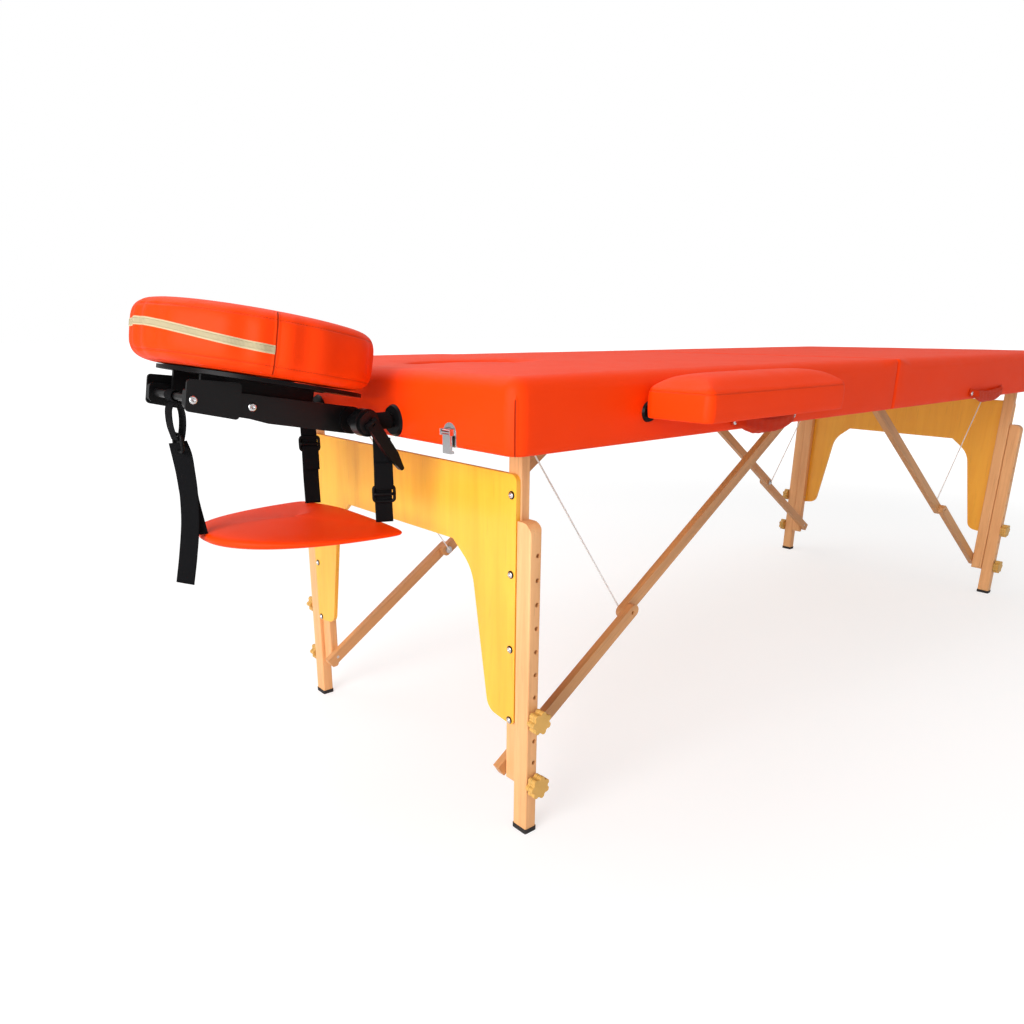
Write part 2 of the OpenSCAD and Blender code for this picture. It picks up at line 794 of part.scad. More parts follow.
// Sockets for the posts and the armrest rods
module socket(r, collar) {
    difference() {
        union() {
            cylinder(r = r + socket_wall, h = bush_l);
            translate([0, 0, -collar_t]) cylinder(r1 = collar * collar_share, r2 = collar,
                h = collar_t - fit);
        }
        translate([0, 0, -collar_t - over]) cylinder(r = r + fit, h = bush_l + collar_t + 2 * over);
    }
}
module sockets() {
    both_sides() translate([half_l, post_y, tilt_z]) rotate([0, -90, 0])
        socket(post_r, post_collar_r);
    for (u = rod_us)
        both_sides() translate([u, half_w, rod_z]) rotate([90, 0, 0]) socket(rod_r, rod_collar_r);
}
module socket_cuts() {
    both_sides() {
        cyl_x(post_y, tilt_z, post_r + socket_wall + fit, half_l - bush_l - over, half_l + over);
        for (u = rod_us)
            cyl_y(u, rod_z, rod_r + socket_wall + fit, half_w - bush_l - over, half_w + over);
    }
}

// Face cradle
module posts() {
    both_sides() {
        difference() {
            union() {
                cyl_x(post_y, tilt_z, post_r, half_l - post_in_l, tilt_u);
                cyl_y(tilt_u, tilt_z, tilt_disc_r, post_y - hub_l / 2, post_y + hub_l / 2);
            }
            cyl_y(tilt_u, tilt_z, cross_r + fit, post_y - hub_l, post_y + hub_l);
        }
        cyl_y(tilt_u, tilt_z, tilt_disc_r * disc_share, disc_y0, disc_y0 + disc_t);
    }
    cyl_y(tilt_u, tilt_z, cross_r, -disc_y0 - disc_t / 2, disc_y0 + disc_t / 2);
    on_lever() lever_lug();
}
module arms() {
    tip_l = arm_l + arm_tip_l + arm_h / 3;
    neck_l = arm_l * arm_neck_share;
    arm = rounded([[0, -arm_root_h / 2], [neck_l, -arm_root_h / 2], [arm_l, -arm_h / 2],
            [tip_l, -arm_h * arm_tip_share], [tip_l, arm_h * arm_tip_share],
            [arm_l, arm_h / 2], [neck_l, arm_h / 2], [0, arm_root_h / 2]],
        [0, arm_root_round, arm_root_round, arm_tip_round, arm_tip_round,
            arm_neck_round, arm_neck_round, 0]);
    tip_u0 = arm_l + tip_plate_in;
    tip_plate = rounded([[tip_u0, -arm_h / 2 - tip_plate_drop],
            [tip_l, -arm_h * arm_tip_share - tip_plate_drop],
            [tip_l, plate_lift * tip_plate_top_shares[1]],
            [tip_u0, plate_lift * tip_plate_top_shares[0]]],
        [tip_plate_round, tip_plate_round, tip_plate_round, tip_plate_round]);
    both_sides() difference() {
        union() {
            translate([tilt_u, 0, tilt_z]) rotate([0, -cradle_slope, 0]) {
                plate_y(arm, arm_y0, arm_y0 + arm_t);
                plate_y(tip_plate, arm_y0 + arm_t - over, arm_y0 + arm_t + tip_plate_t);
            }
            cyl_y(tilt_u, tilt_z, arm_root_h / 2, arm_y0 - arm_hub_over, arm_y0 + arm_t + arm_hub_over);
        }
        cyl_y(tilt_u, tilt_z, cross_r + fit, arm_y0 - arm_t, arm_y0 + 2 * arm_t);
        cyl_y(plate_u, plate_z, plate_pin_r + fit, arm_y0 - over, arm_y0 + arm_t + over);
    }
    pin_y = arm_y0 + arm_t + plate_pin_over;
    cyl_y(tie_u, tie_z, tie_r, -arm_y0 - over, arm_y0 + over);
    cyl_y(plate_u, plate_z, plate_pin_r, -pin_y, pin_y);
}
// The platform's frame starts at its pivot and leans with the arms
module on_platform() {
    translate([plate_u, 0, plate_z]) rotate([0, -cradle_slope, 0]) children();
}
module horseshoe(r_out, r_in, mouth, tail) {
    side = 2 * (r_out + over);
    difference() {
        circle(r_out, $fn = rim_fn);
        circle(r_in);
        translate([-r_out - over, -mouth / 2]) square([r_out + over, mouth]);
        translate([-tail - side, -side / 2]) square([side, side]);
    }
}
module platform() {
    bend = lug_r * lug_round_share;
    lug = rounded([[-lug_r, -lug_r], [cheek_out, -lug_r], [cheek_out, plate_lift],
            [-cheek_in, plate_lift], [-cheek_in, plate_lift * cheek_in_share]],
        [bend, bend, 0, 0, bend]);
    on_platform() {
        translate([plate_c, 0, plate_lift]) linear_extrude(platform_t)
            horseshoe(platform_r, face_in_r + plate_rim_in, plate_mouth, plate_tail);
        both_sides() difference() {
            plate_y(lug, lug_y0, lug_y0 + lug_t);
            cyl_y(0, 0, plate_pin_r + fit, lug_y0 - over, lug_y0 + lug_t + over);
        }
    }
}
// The face cushion is a padded horseshoe: a ring section swept round an arc, with round ends
module face_pad() {
    mid_r = (face_r + face_in_r) / 2;
    half = (face_r - face_in_r) / 2;
    base = plate_lift + platform_t + gap;
    rows = face_n_t + 2 * face_end_n;
    sec = [for (k = [0:face_n_s - 1]) let (a = 360 * k / face_n_s - 90)
        [half * signed_pow(cos(a), face_side_share), face_t / 2 * signed_pow(sin(a), face_top_share)]];
    a_at = function(t) face_arc * (max(0, min(1, (t - face_end_n) / face_n_t)) - 1 / 2);
    off = function(t) max(0, face_end_n - t, t - rows + face_end_n) / face_end_n;
    grow = function(t) sqrt(max(face_tip_share * face_tip_share, 1 - pow(off(t), 2)));
    push = function(t) off(t) * half * face_end_share * sign(2 * t - rows);
    tall = function(t) face_end_h_share + (1 - face_end_h_share) * grow(t);
    pts = [for (t = [0:rows], s = sec)
        let (a = a_at(t), r = mid_r + s.x * grow(t), d = push(t))
        [r * cos(a) - d * sin(a), r * sin(a) + d * cos(a), base + face_t / 2 + s.y * tall(t)]];
    sides = [for (t = [0:rows - 1], k = [0:face_n_s - 1]) let (j = (k + 1) % face_n_s)
        each [[t * face_n_s + k, t * face_n_s + j, (t + 1) * face_n_s + j],
            [t * face_n_s + k, (t + 1) * face_n_s + j, (t + 1) * face_n_s + k]]];
    start = [for (k = [1:face_n_s - 2]) [0, k + 1, k]];
    stop = [for (k = [1:face_n_s - 2])
        [rows * face_n_s, rows * face_n_s + k, rows * face_n_s + k + 1]];
    on_platform() translate([plate_c, 0, 0]) polyhedron(pts, concat(sides, start, stop));
}
// The lever's frame starts at its pin, with +X along the lever and +Y towards the disc
module on_lever() {
    translate([tilt_u, -lever_y, tilt_z]) rotate([0, 180 - lever_a, 0]) children();
}
module lever_roller(r, w) {
    translate([0, 0, -w / 2]) cylinder(r = r, h = w);
}
module lever_lug() {
    difference() {
        union() {
            lever_roller(lever_lug_r, lever_lug_w);
            block([-lever_lug_r, 0, -lever_lug_w / 2],
                [lever_lug_r, lever_t / 2 + gap + disc_t / 2, lever_lug_w / 2]);
        }
        lever_roller(lever_pin_r + fit, lever_w);
    }
}
module lever() {
    slot = lever_lug_w / 2 + gap;
    root = lever_t * lever_root_share;
    outline = rounded(concat([[-lever_t / 2, -lever_w / 2]],
            [for (s = lever_shares) [s.x * lever_l, s.y * lever_w]],
            [[-lever_t / 2, lever_w / 2]]),
        [for (s = lever_round_shares) s * lever_w]);
    on_lever() {
        difference() {
            intersection() {
                plate_y(outline, -lever_t, lever_t);
                translate([0, 0, -lever_w]) linear_extrude(2 * lever_w) polygon(rounded(
                    box_pts(-lever_t / 2, -lever_t / 2, lever_l + over, lever_t / 2),
                    [root, 0, 0, root]));
            }
            block([-lever_t, -lever_t, -slot], [lever_lug_r + gap, lever_t, slot]);
        }
        lever_roller(lever_pin_r, lever_w);
    }
}

// Arm sling
module sling() {
    curve = [for (k = [0:sling_n]) let (a = 180 * k / sling_n - 90)
        [sling_u0 + sling_l * pow(cos(a), sling_curve_share), sling_w / 2 * sin(a)]];
    edge = [for (k = [1:sling_edge_n - 1]) [sling_u0, sling_w / 2 * (1 - 2 * k / sling_edge_n)]];
    soft_form(concat(curve, edge), [sling_u0 + sling_l * sling_centre_share, 0],
        rings_of(sling_ring_shares, sling_z, sling_t), sling_z + sling_t);
}
module straps() {
    post_gap_u = (half_l + collar_t + tilt_u - tilt_disc_r) / 2;
    both_sides() block(
        [post_gap_u - strap_w / 2, post_y - strap_t / 2, sling_z + sling_t * strap_seat_share],
        [post_gap_u + strap_w / 2, post_y + strap_t / 2, tilt_z - post_r - gap]);
    low_u = sling_u0 + sling_l + gap;
    top_u = tie_u - tie_r - gap;
    mid_z = sling_z + sling_t / 2;
    plate_y([[low_u, sling_z], [low_u + strap_t, sling_z], [low_u + strap_t, mid_z],
            [top_u, tie_z + tie_r], [top_u - strap_t, tie_z + tie_r], [low_u, mid_z]],
        -strap_w / 2, strap_w / 2);
}

// Armrests
function arm_outline(inset) = rounded(
    box_pts(arm_pad_u - arm_pad_l / 2 + inset, pad_y0 + inset,
        arm_pad_u + arm_pad_l / 2 - inset, pad_y0 + arm_pad_w - inset),
    [pad_inner_shares[0] * arm_pad_w, pad_inner_shares[1] * arm_pad_w,
        pad_outer_share * arm_pad_w, pad_outer_share * arm_pad_w]);
module armrest_pad() {
    soft_form(arm_outline(0), [arm_pad_u, pad_y0 + arm_pad_w / 2],
        rings_of(pad_ring_shares, pad_z0, arm_pad_t), pad_z0 + arm_pad_t);
}
module armrest_frame() {
    difference() {
        translate([0, 0, board_z0]) linear_extrude(board_t) polygon(arm_outline(board_in));
        for (u = rod_us)
            cyl_y(u, rod_z, rod_r + fit, pad_y0 - over, pad_y0 + rod_out_l + fit);
    }
    for (u = rod_us)
        cyl_y(u, rod_z, rod_r, half_w - rod_in_l, pad_y0 + rod_out_l);
}

// Colours
wood = "burlywood";
veneer = "goldenrod";
vinyl = "orangered";
black = [0.12, 0.12, 0.12];
steel = "silver";

// Head half
module head_cushion() {
    color(vinyl) on_head() difference() {
        top_cushion();
        hole_cut(foam_z - over, foam_top + foam_crown + over, 0);
    }
}
module head_skirt() {
    color(vinyl) on_head() difference() {
        skirt();
        socket_cuts();
    }
}
module breathing_plug() {
    color(vinyl) on_head() hole_cut(deck_z, foam_top - plug_sink, -plug_gap);
}
module head_deck() {
    color(veneer) on_head() difference() {
        deck();
        hole_cut(deck_z - over, foam_z + over, 0);
    }
}
module head_frame() {
    color(wood) on_head() difference() {
        frame();
        socket_cuts();
    }
}
module head_brackets() {
    color(steel) on_head() {
        brackets();
        both_sides() cable_eye();
    }
}
module head_cables() { color(steel) on_head() cables(); }
module head_handle() { color(vinyl) on_head() handle(); }
module rod_sockets() { color(black) on_head() sockets(); }
module latch_plates() { color(steel) on_head() latch_plate(); }
module latch_hooks() { color(steel) on_head() latch_hook(); }
module hinge_head_leaves() {
    color(steel) on_head() {
        leaf(0);
        hinge_pins();
    }
}

// Foot half
module foot_cushion() { color(vinyl) top_cushion(); }
module foot_skirt() { color(vinyl) skirt(); }
module foot_deck() { color(veneer) deck(); }
module foot_frame() { color(wood) frame(); }
module foot_brackets() {
    color(steel) {
        brackets();
        both_sides() cable_eye();
    }
}
module foot_cables() { color(steel) cables(); }
module foot_handle() { color(vinyl) handle(); }
module latch_catches() { color(steel) latch_catch(); }
module hinge_foot_leaves() { color(steel) leaf(1); }

// Leg frames
module head_inner_legs() { color(wood) on_head() inner_legs(); }
module head_end_panel() { color(veneer) on_head() end_panel(); }
module head_leg_bolts() { color(steel) on_head() leg_bolts(); }
module foot_inner_legs() { color(wood) inner_legs(); }
module foot_end_panel() { color(veneer) end_panel(); }
module foot_leg_bolts() { color(steel) leg_bolts(); }
module head_near_sliding_leg() { color(wood) on_head() on_near() sliding_leg(); }
module head_far_sliding_leg() { color(wood) on_head() sliding_leg(); }
module foot_near_sliding_leg() { color(wood) on_near() sliding_leg(); }
module foot_far_sliding_leg() { color(wood) sliding_leg(); }
module head_near_rubber_foot() { color(black) on_head() on_near() rubber_foot(); }
module head_far_rubber_foot() { color(black) on_head() rubber_foot(); }
module foot_near_rubber_foot() { color(black) on_near() rubber_foot(); }
module foot_far_rubber_foot() { color(black) rubber_foot(); }
module head_near_lower_knob() { color(wood) on_head() on_near() knob(bolt_hs[0]); }
module head_near_upper_knob() { color(wood) on_head() on_near() knob(bolt_hs[1]); }
module head_far_lower_knob() { color(wood) on_head() knob(bolt_hs[0]); }
module head_far_upper_knob() { color(wood) on_head() knob(bolt_hs[1]); }
module foot_near_lower_knob() { color(wood) on_near() knob(bolt_hs[0]); }
module foot_near_upper_knob() { color(wood) on_near() knob(bolt_hs[1]); }
module foot_far_lower_knob() { color(wood) knob(bolt_hs[0]); }
module foot_far_upper_knob() { color(wood) knob(bolt_hs[1]); }

// Brace sets
module head_upper_braces() { color(wood) on_head() upper_braces(); }
module head_lower_braces() { color(wood) on_head() lower_braces(); }
module foot_upper_braces() { color(wood) upper_braces(); }
module foot_lower_braces() { color(wood) lower_braces(); }
module head_knee_bolts() { color(steel) on_head() knee_bolts(); }
module foot_knee_bolts() { color(steel) knee_bolts(); }

// Cradle and armrests
module cradle_posts() { color(black) on_head() posts(); }
module cradle_arms() { color(black) on_head() arms(); }
module cradle_lever() { color(black) on_head() lever(); }
module cradle_platform() { color(black) on_head() platform(); }
module face_cushion() { color(vinyl) on_head() face_pad(); }
module sling_straps() { color(black) on_head() straps(); }
module arm_sling() { color(vinyl) on_head() sling(); }
module near_armrest_pad() { color(vinyl) on_head() on_near() armrest_pad(); }
module near_armrest_frame() { color(black) on_head() on_near() armrest_frame(); }
module far_armrest_pad() { color(vinyl) on_head() armrest_pad(); }
module far_armrest_frame() { color(black) on_head() armrest_frame(); }

head_cushion();
head_skirt();
breathing_plug();
head_deck();
head_frame();
head_brackets();
head_cables();
head_handle();
rod_sockets();
latch_plates();
latch_hooks();
hinge_head_leaves();
foot_cushion();
foot_skirt();
foot_deck();
foot_frame();
foot_brackets();
foot_cables();
foot_handle();
latch_catches();
hinge_foot_leaves();
head_inner_legs();
head_end_panel();
head_leg_bolts();
foot_inner_legs();
foot_end_panel();
foot_leg_bolts();
head_near_sliding_leg();
head_far_sliding_leg();
foot_near_sliding_leg();
foot_far_sliding_leg();
head_near_rubber_foot();
head_far_rubber_foot();
foot_near_rubber_foot();
foot_far_rubber_foot();
head_near_lower_knob();
head_near_upper_knob();
head_far_lower_knob();
head_far_upper_knob();
foot_near_lower_knob();
foot_near_upper_knob();
foot_far_lower_knob();
foot_far_upper_knob();
head_upper_braces();
head_lower_braces();
foot_upper_braces();
foot_lower_braces();
head_knee_bolts();
foot_knee_bolts();
cradle_posts();
cradle_arms();
cradle_lever();
cradle_platform();
face_cushion();
sling_straps();
arm_sling();
near_armrest_pad();
near_armrest_frame();
far_armrest_pad();
far_armrest_frame();
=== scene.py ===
"""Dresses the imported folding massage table: vinyl covers, wood, webbing, fittings and a studio."""

import json
import math

import bpy
import numpy as np
from bpy.props import FloatProperty, FloatVectorProperty, PointerProperty
from mathutils import Matrix, Vector

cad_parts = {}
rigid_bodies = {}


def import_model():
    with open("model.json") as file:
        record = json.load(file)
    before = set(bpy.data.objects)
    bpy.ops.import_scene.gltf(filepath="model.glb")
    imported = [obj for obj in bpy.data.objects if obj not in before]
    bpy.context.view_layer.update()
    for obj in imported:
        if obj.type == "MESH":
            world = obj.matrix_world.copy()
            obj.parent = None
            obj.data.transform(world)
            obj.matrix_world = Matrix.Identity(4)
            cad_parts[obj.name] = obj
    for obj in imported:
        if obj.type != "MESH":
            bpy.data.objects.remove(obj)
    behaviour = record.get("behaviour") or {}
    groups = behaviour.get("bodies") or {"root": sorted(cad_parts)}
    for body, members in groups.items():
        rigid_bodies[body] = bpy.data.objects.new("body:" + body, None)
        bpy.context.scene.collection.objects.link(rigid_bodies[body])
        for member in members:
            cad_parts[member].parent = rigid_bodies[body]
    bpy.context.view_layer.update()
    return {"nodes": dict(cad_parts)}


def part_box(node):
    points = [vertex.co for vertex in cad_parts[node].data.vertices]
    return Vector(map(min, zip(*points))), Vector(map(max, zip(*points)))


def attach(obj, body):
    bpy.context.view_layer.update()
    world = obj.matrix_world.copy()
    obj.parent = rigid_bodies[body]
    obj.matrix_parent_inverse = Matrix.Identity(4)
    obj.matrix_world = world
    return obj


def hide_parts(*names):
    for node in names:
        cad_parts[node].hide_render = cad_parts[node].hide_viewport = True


bl_info = {
    "name": "Massage table dresser",
    "version": (1, 0, 0),
    "blender": (4, 5, 0),
    "location": "View3D > Sidebar > Table",
    "description": "Makes the covers, webbing, finishes and stage of a folding massage table",
    "category": "Object",
}

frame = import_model()


# Sizes that the pieces share, in metres
MM = 0.001
HALF_L, HALF_W, CROWN_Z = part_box("foot_cushion")[1]
TOP_Z = CROWN_Z - 3 * MM
EDGE_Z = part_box("foot_skirt")[0][2]
HOLE_U, HOLE_A, HOLE_B = 715 * MM, 110 * MM, 68 * MM
TILT_U, TILT_Z = 977 * MM, 572 * MM
SLOPE = math.radians(10.4)
PLATE_U = TILT_U + 140 * MM * math.cos(SLOPE)
PLATE_Z = TILT_Z + 140 * MM * math.sin(SLOPE)
PLATE_C, PLATE_TOP = -42 * MM, 36 * MM
POST_Y = 105 * MM
BOARD_T = 12.8 * MM
BRACE_A = math.radians(33.65)

# The face cushion's radii and thickness, and the radius at which lengths along it are taken
FACE_OUT, FACE_IN, FACE_THICK, FACE_RUN = 153.5 * MM, 52 * MM, 76 * MM, 153 * MM

# The face cushion's half arc, each rounded end beyond it and its side seams, in degrees
FACE_ARC, FACE_END, FACE_SEAM = 128.0, 24.0, 73.0

# The rows of a surface that are closed, unless a call says otherwise
ENDS = ("first", "last")

# Millimetres from a seam or a row of stitches at which nothing of it shows any more
FAR = 20.0

# A screw head's section from its rim inwards, in shares of its radius: how far out and how high
SCREW = np.array(
    [[1.0, -0.35], [1.0, 0.0], [0.96, 0.16], [0.78, 0.32], [0.42, 0.40], [0.38, 0.36], [0.36, 0.05]]
)


# Settings


def colour(name, text, default):
    """A linear colour that a user may change."""
    return FloatVectorProperty(
        name=name, description=text, subtype="COLOR", size=3, min=0, max=1, default=default
    )


def length(name, text, default):
    """A size in metres that a user may change."""
    return FloatProperty(
        name=name, description=text, default=default, min=0, unit="LENGTH", precision=4
    )


def power(name, text, default):
    """The strength of a light that a user may change."""
    return FloatProperty(name=name, description=text, default=default, min=0)


class VinylSettings(bpy.types.PropertyGroup):
    tint: colour("Vinyl", "Colour of the vinyl covers", (0.90, 0.048, 0.0009))
    grain: length("Grain", "Depth of the vinyl's grain", 0.00008)
    edge: length("Edge", "Radius of the padded top's upper edge", 0.0205)
    zip_tint: colour("Zip", "Colour of the face cushion's zip", (0.52, 0.43, 0.25))
    zip_width: length("Zip width", "Width of the zip's tape", 0.0095)


class WoodSettings(bpy.types.PropertyGroup):
    beech_light: colour("Beech, light", "Light bands of the beech", (0.84, 0.45, 0.19))
    beech_dark: colour("Beech, dark", "Dark bands of the beech", (0.65, 0.30, 0.11))
    veneer_light: colour("Veneer, light", "Light bands of the end panels", (0.93, 0.46, 0.032))
    veneer_dark: colour("Veneer, dark", "Dark bands of the end panels", (0.84, 0.35, 0.017))
    brace: colour("Braces", "Colour of the darker braces", (0.58, 0.285, 0.108))
    knob: colour("Knobs", "Colour of the plywood knobs", (0.80, 0.45, 0.10))


class FittingSettings(bpy.types.PropertyGroup):
    webbing: colour("Webbing", "Colour of the straps", (0.0045, 0.0045, 0.0050))
    plastic: colour("Plastic", "Colour of the moulded pieces", (0.0050, 0.0048, 0.0052))
    coat: colour("Coat", "Colour of the coated metal", (0.0035, 0.0034, 0.0038))
    strap_width: length("Strap width", "Width of the sling's webbing", 0.024)
    strap_thick: length("Strap thickness", "Thickness of the sling's webbing", 0.0018)


class StageSettings(bpy.types.PropertyGroup):
    floor: colour("Floor", "Colour of the studio floor", (0.90, 0.90, 0.90))
    key: power("Key", "Power of the key lamp", 134)
    fill: power("Fill", "Power of the fill lamp", 9)
    sky: power("Sky", "Strength of the room's light", 0.48)


# Shader graph


class Wire:
    """One output of a material's node graph. Arithmetic on wires adds Math nodes."""

    def __init__(self, graph, socket):
        self.graph = graph
        self.socket = socket

    def maths(self, operation, *values):
        """A Math node of that operation on this wire and the given values, in their order."""
        return self.graph.node(
            "ShaderNodeMath", {"operation": operation}, dict(enumerate(values))
        )

    def __add__(self, other):
        return self.maths("ADD", self, other)

    __radd__ = __add__

    def __sub__(self, other):
        return self.maths("SUBTRACT", self, other)

    def __rsub__(self, other):
        return self.maths("SUBTRACT", other, self)

    def __mul__(self, other):
        return self.maths("MULTIPLY", self, other)

    __rmul__ = __mul__

    def __truediv__(self, other):
        return self.maths("DIVIDE", self, other)

    def __rtruediv__(self, other):
        return self.maths("DIVIDE", other, self)

    def __abs__(self):
        return self.maths("ABSOLUTE", self)

    def __mod__(self, other):
        return self.maths("FLOORED_MODULO", self, other)

    def zigzag(self, height):
        """Runs up and down between 0 and height."""
        return self.maths("PINGPONG", self, height)

    def below(self, edge, soft):
        """1 where this wire is under edge, falling to 0 over soft."""
        return self.graph.node(
            "ShaderNodeMapRange",
            {"interpolation_type": "SMOOTHSTEP"},
            {"Value": self, "From Min": edge, "From Max": edge + soft, "To Min": 1, "To Max": 0},
        )


class Graph:
    """A material and the one way that nodes are added to it."""

    def __init__(self, name, **fixed):
        self.material = bpy.data.materials.new(name)
        self.material.use_nodes = True
        self.nodes = self.material.node_tree.nodes
        self.links = self.material.node_tree.links
        self.shader = self.nodes["Principled BSDF"]
        self.finish(**fixed)

    def put(self, socket, value):
        """Links a wire to a socket, or sets the socket's own value."""
        if isinstance(value, Wire):
            self.links.new(value.socket, socket)
        elif hasattr(value, "__len__") and len(value) == 3 and len(socket.default_value) == 4:
            socket.default_value = (*value, 1.0)
        else:
            socket.default_value = value

    def node(self, kind, settings=None, values=None, out=0):
        """A node of that kind: its settings, a ramp's stops among them, then its sockets' values."""
        made = self.nodes.new(kind)
        for key, value in (settings or {}).items():
            if key == "stops":
                ramp = made.color_ramp
                while len(ramp.elements) < len(value):
                    ramp.elements.new(0.5)
                for element, (place, tint) in zip(ramp.elements, value):
                    element.position = place
                    element.color = (*tint, 1.0)
            else:
                setattr(made, key, value)
        for key, value in (values or {}).items():
            self.put(made.inputs[key], value)
        return Wire(self, made.outputs[out])

    def place(self, scale=(1, 1, 1), turn=(0, 0, 0)):
        """Object coordinates, turned and then scaled."""
        spot = self.node("ShaderNodeTexCoord", out="Object")
        turned = self.node("ShaderNodeMapping", values={"Vector": spot, "Rotation": turn})
        return self.node("ShaderNodeVectorMath", {"operation": "MULTIPLY"}, {0: turned, 1: scale})

    def noise(self, vector, scale=1.0, detail=3.0, rough=0.5, warp=0.0):
        """Fractal noise at a vector times the scale."""
        names = ("Vector", "Scale", "Detail", "Roughness", "Distortion")
        values = dict(zip(names, (vector, scale, detail, rough, warp)))
        return self.node("ShaderNodeTexNoise", values=values)

    def mix(self, factor, first, second):
        """first where factor is 0 and second where it is 1."""
        return self.node(
            "ShaderNodeMix", {"data_type": "RGBA"}, {0: factor, 6: first, 7: second}, out=2
        )

    def bump(self, height, depth, below=None, strength=1.0):
        """A normal that leans with the height's slope, laid over the one below, if there is one."""
        values = {"Height": height, "Distance": depth, "Strength": strength}
        if below is not None:
            values["Normal"] = below
        return self.node("ShaderNodeBump", values=values)

    def attribute(self, name):
        """The mesh's own values of that name."""
        return self.node("ShaderNodeAttribute", {"attribute_name": name}, out="Fac")

    def tape_map(self):
        """The piece's own UV map in millimetres: the distance along the tape, and across it."""
        uv = self.node("ShaderNodeUVMap", {"uv_map": "UVMap"})
        return [self.node("ShaderNodeSeparateXYZ", values={0: uv}, out=axis) * 1000 for axis in "XY"]

    def finish(self, **sockets):
        """Fills the shader's own sockets, named with underscores, and gives the material."""
        for socket, value in sockets.items():
            self.put(self.shader.inputs[socket.replace("_", " ")], value)
        return self.material


# Finishes


def shaded(tint, share):
    """A colour times a share, at most 1 in each channel."""
    return tuple(min(1, c * share) for c in tint)


def vinyl(name, seams=False, stitches=False, shade=1.0):
    """Padded vinyl: fine pebbled grain, faint hand marks in its gloss, seams with painted shade in
    their grooves, and stitches.

    "seam" and "stitch" are the distances to a seam and to a row of stitches, and "run" is the
    distance along that row, all in millimetres. shade scales the whole colour down, a painted shade.
    """
    tone = bpy.context.scene.vinyl
    g = Graph(name, Specular_IOR_Level=0.10)
    spot = g.place()
    pebble = g.node(
        "ShaderNodeTexVoronoi", {"feature": "DISTANCE_TO_EDGE"}, {"Vector": spot, "Scale": 620.0}
    )
    fine = g.noise(spot, 1500.0, 2.0)
    broad = g.noise(spot, 9.0, 3.0, 0.5, 0.3)
    cloud = g.noise(spot, 38.0, 3.0)
    base = shaded(tone.tint, shade)
    tint = g.mix(broad * 0.30, base, tuple(c * s for c, s in zip(base, (0.90, 0.72, 0.7))))
    height = pebble.below(0.0, 0.16) * -0.7 + fine * 0.3
    normal = g.bump(broad, 0.0011, strength=0.5)
    normal = g.bump(height, tone.grain, normal)
    rough = 0.38 + cloud * 0.10 + broad * 0.06
    if seams:
        seam = abs(g.attribute("seam"))
        groove = seam.below(0.3, 1.1)
        welt = seam.below(1.2, 3.2)
        # The seam's groove is painted dark, a painted shade in the crease
        tint = g.mix(groove * 0.75, tint, shaded(tone.tint, 0.22))
        normal = g.bump(welt * 0.5 - groove, 0.0011, normal)
    if stitches:
        row = abs(g.attribute("stitch"))
        dash = abs(g.attribute("run") % 3.6 - 1.8).below(1.15, 0.35)
        thread = row.below(0.25, 0.5) * dash
        crease = row.below(0.4, 1.6)
        tint = g.mix(thread * 0.55, tint, shaded(tone.tint, 0.45))
        normal = g.bump(thread * 0.5 - crease, 0.0006, normal)
    return g.finish(Base_Color=tint, Roughness=rough, Normal=normal)


def timber(name, light, dark, turn=(0, 0, 0), along=2, fine=1.0, gloss=0.42, flecks=0.6):
    """Lacquered wood: bands and pores stretched along one turned axis, and short pale flecks."""
    g = Graph(name, Coat_Weight=0.18, Coat_Roughness=0.30)
    stretch = [70.0 * fine] * 3
    stretch[along] = 3.2
    pores = [420.0 * fine] * 3
    pores[along] = 14.0
    band = g.noise(g.place(stretch, turn), 1.0, 5.0, 0.6, 0.9)
    pore = g.noise(g.place(pores, turn), 1.0, 3.0, 0.6)
    broad = g.noise(g.place((5, 5, 5), turn), 1.0, 2.0)
    between = tuple((a + b) / 2 for a, b in zip(light, dark))
    stops = {"stops": [(0.30, dark), (0.52, between), (0.72, light)]}
    tint = g.node("ShaderNodeValToRGB", stops, {0: band * 0.75 + broad * 0.35}, out="Color")
    dots = pore.below(0.33, 0.06)
    tint = g.mix(dots * 0.45 * flecks, tint, shaded(dark, 0.5))
    rays = (1 - pore).below(0.30, 0.05)
    tint = g.mix(rays * 0.30 * flecks, tint, shaded(light, 1.15))
    normal = g.bump(band * 0.5 + pore, 0.00025, strength=0.6)
    return g.finish(Base_Color=tint, Roughness=gloss + pore * 0.14, Normal=normal)


def ply(name, light, dark):
    """Plywood seen from its face and edge: thin glue lines between sheets that lie across Y."""
    g = Graph(name, Coat_Weight=0.12, Coat_Roughness=0.35)
    spot = g.place((30, 700, 30))
    sheets = g.noise(g.place((6, 900, 6)), 1.0, 1.0)
    swirl = g.noise(spot, 1.0, 4.0, 0.6, 1.2)
    tint = g.mix(swirl * 0.9, light, dark)
    tint = g.mix(sheets.below(0.42, 0.05) * 0.55, tint, shaded(dark, 0.45))
    normal = g.bump(swirl + sheets, 0.0003)
    return g.finish(Base_Color=tint, Roughness=0.48 + swirl * 0.1, Normal=normal)


def plain(name, tint, metal=0.0, rough=0.4, grain=240.0, depth=0.00008, wear=0.10, **fixed):
    """Moulded, coated or plated finish: fine grain, and gloss that varies by wear."""
    g = Graph(name, Metallic=metal, **fixed)
    spot = g.place()
    broad = g.noise(spot, 26.0, 3.0)
    fine = g.noise(spot, grain, 3.0)
    shade = g.mix(broad * 0.35, tint, shaded(tint, 0.78))
    return g.finish(
        Base_Color=shade,
        Roughness=rough + broad * wear - 0.5 * wear,
        Normal=g.bump(fine, depth),
    )


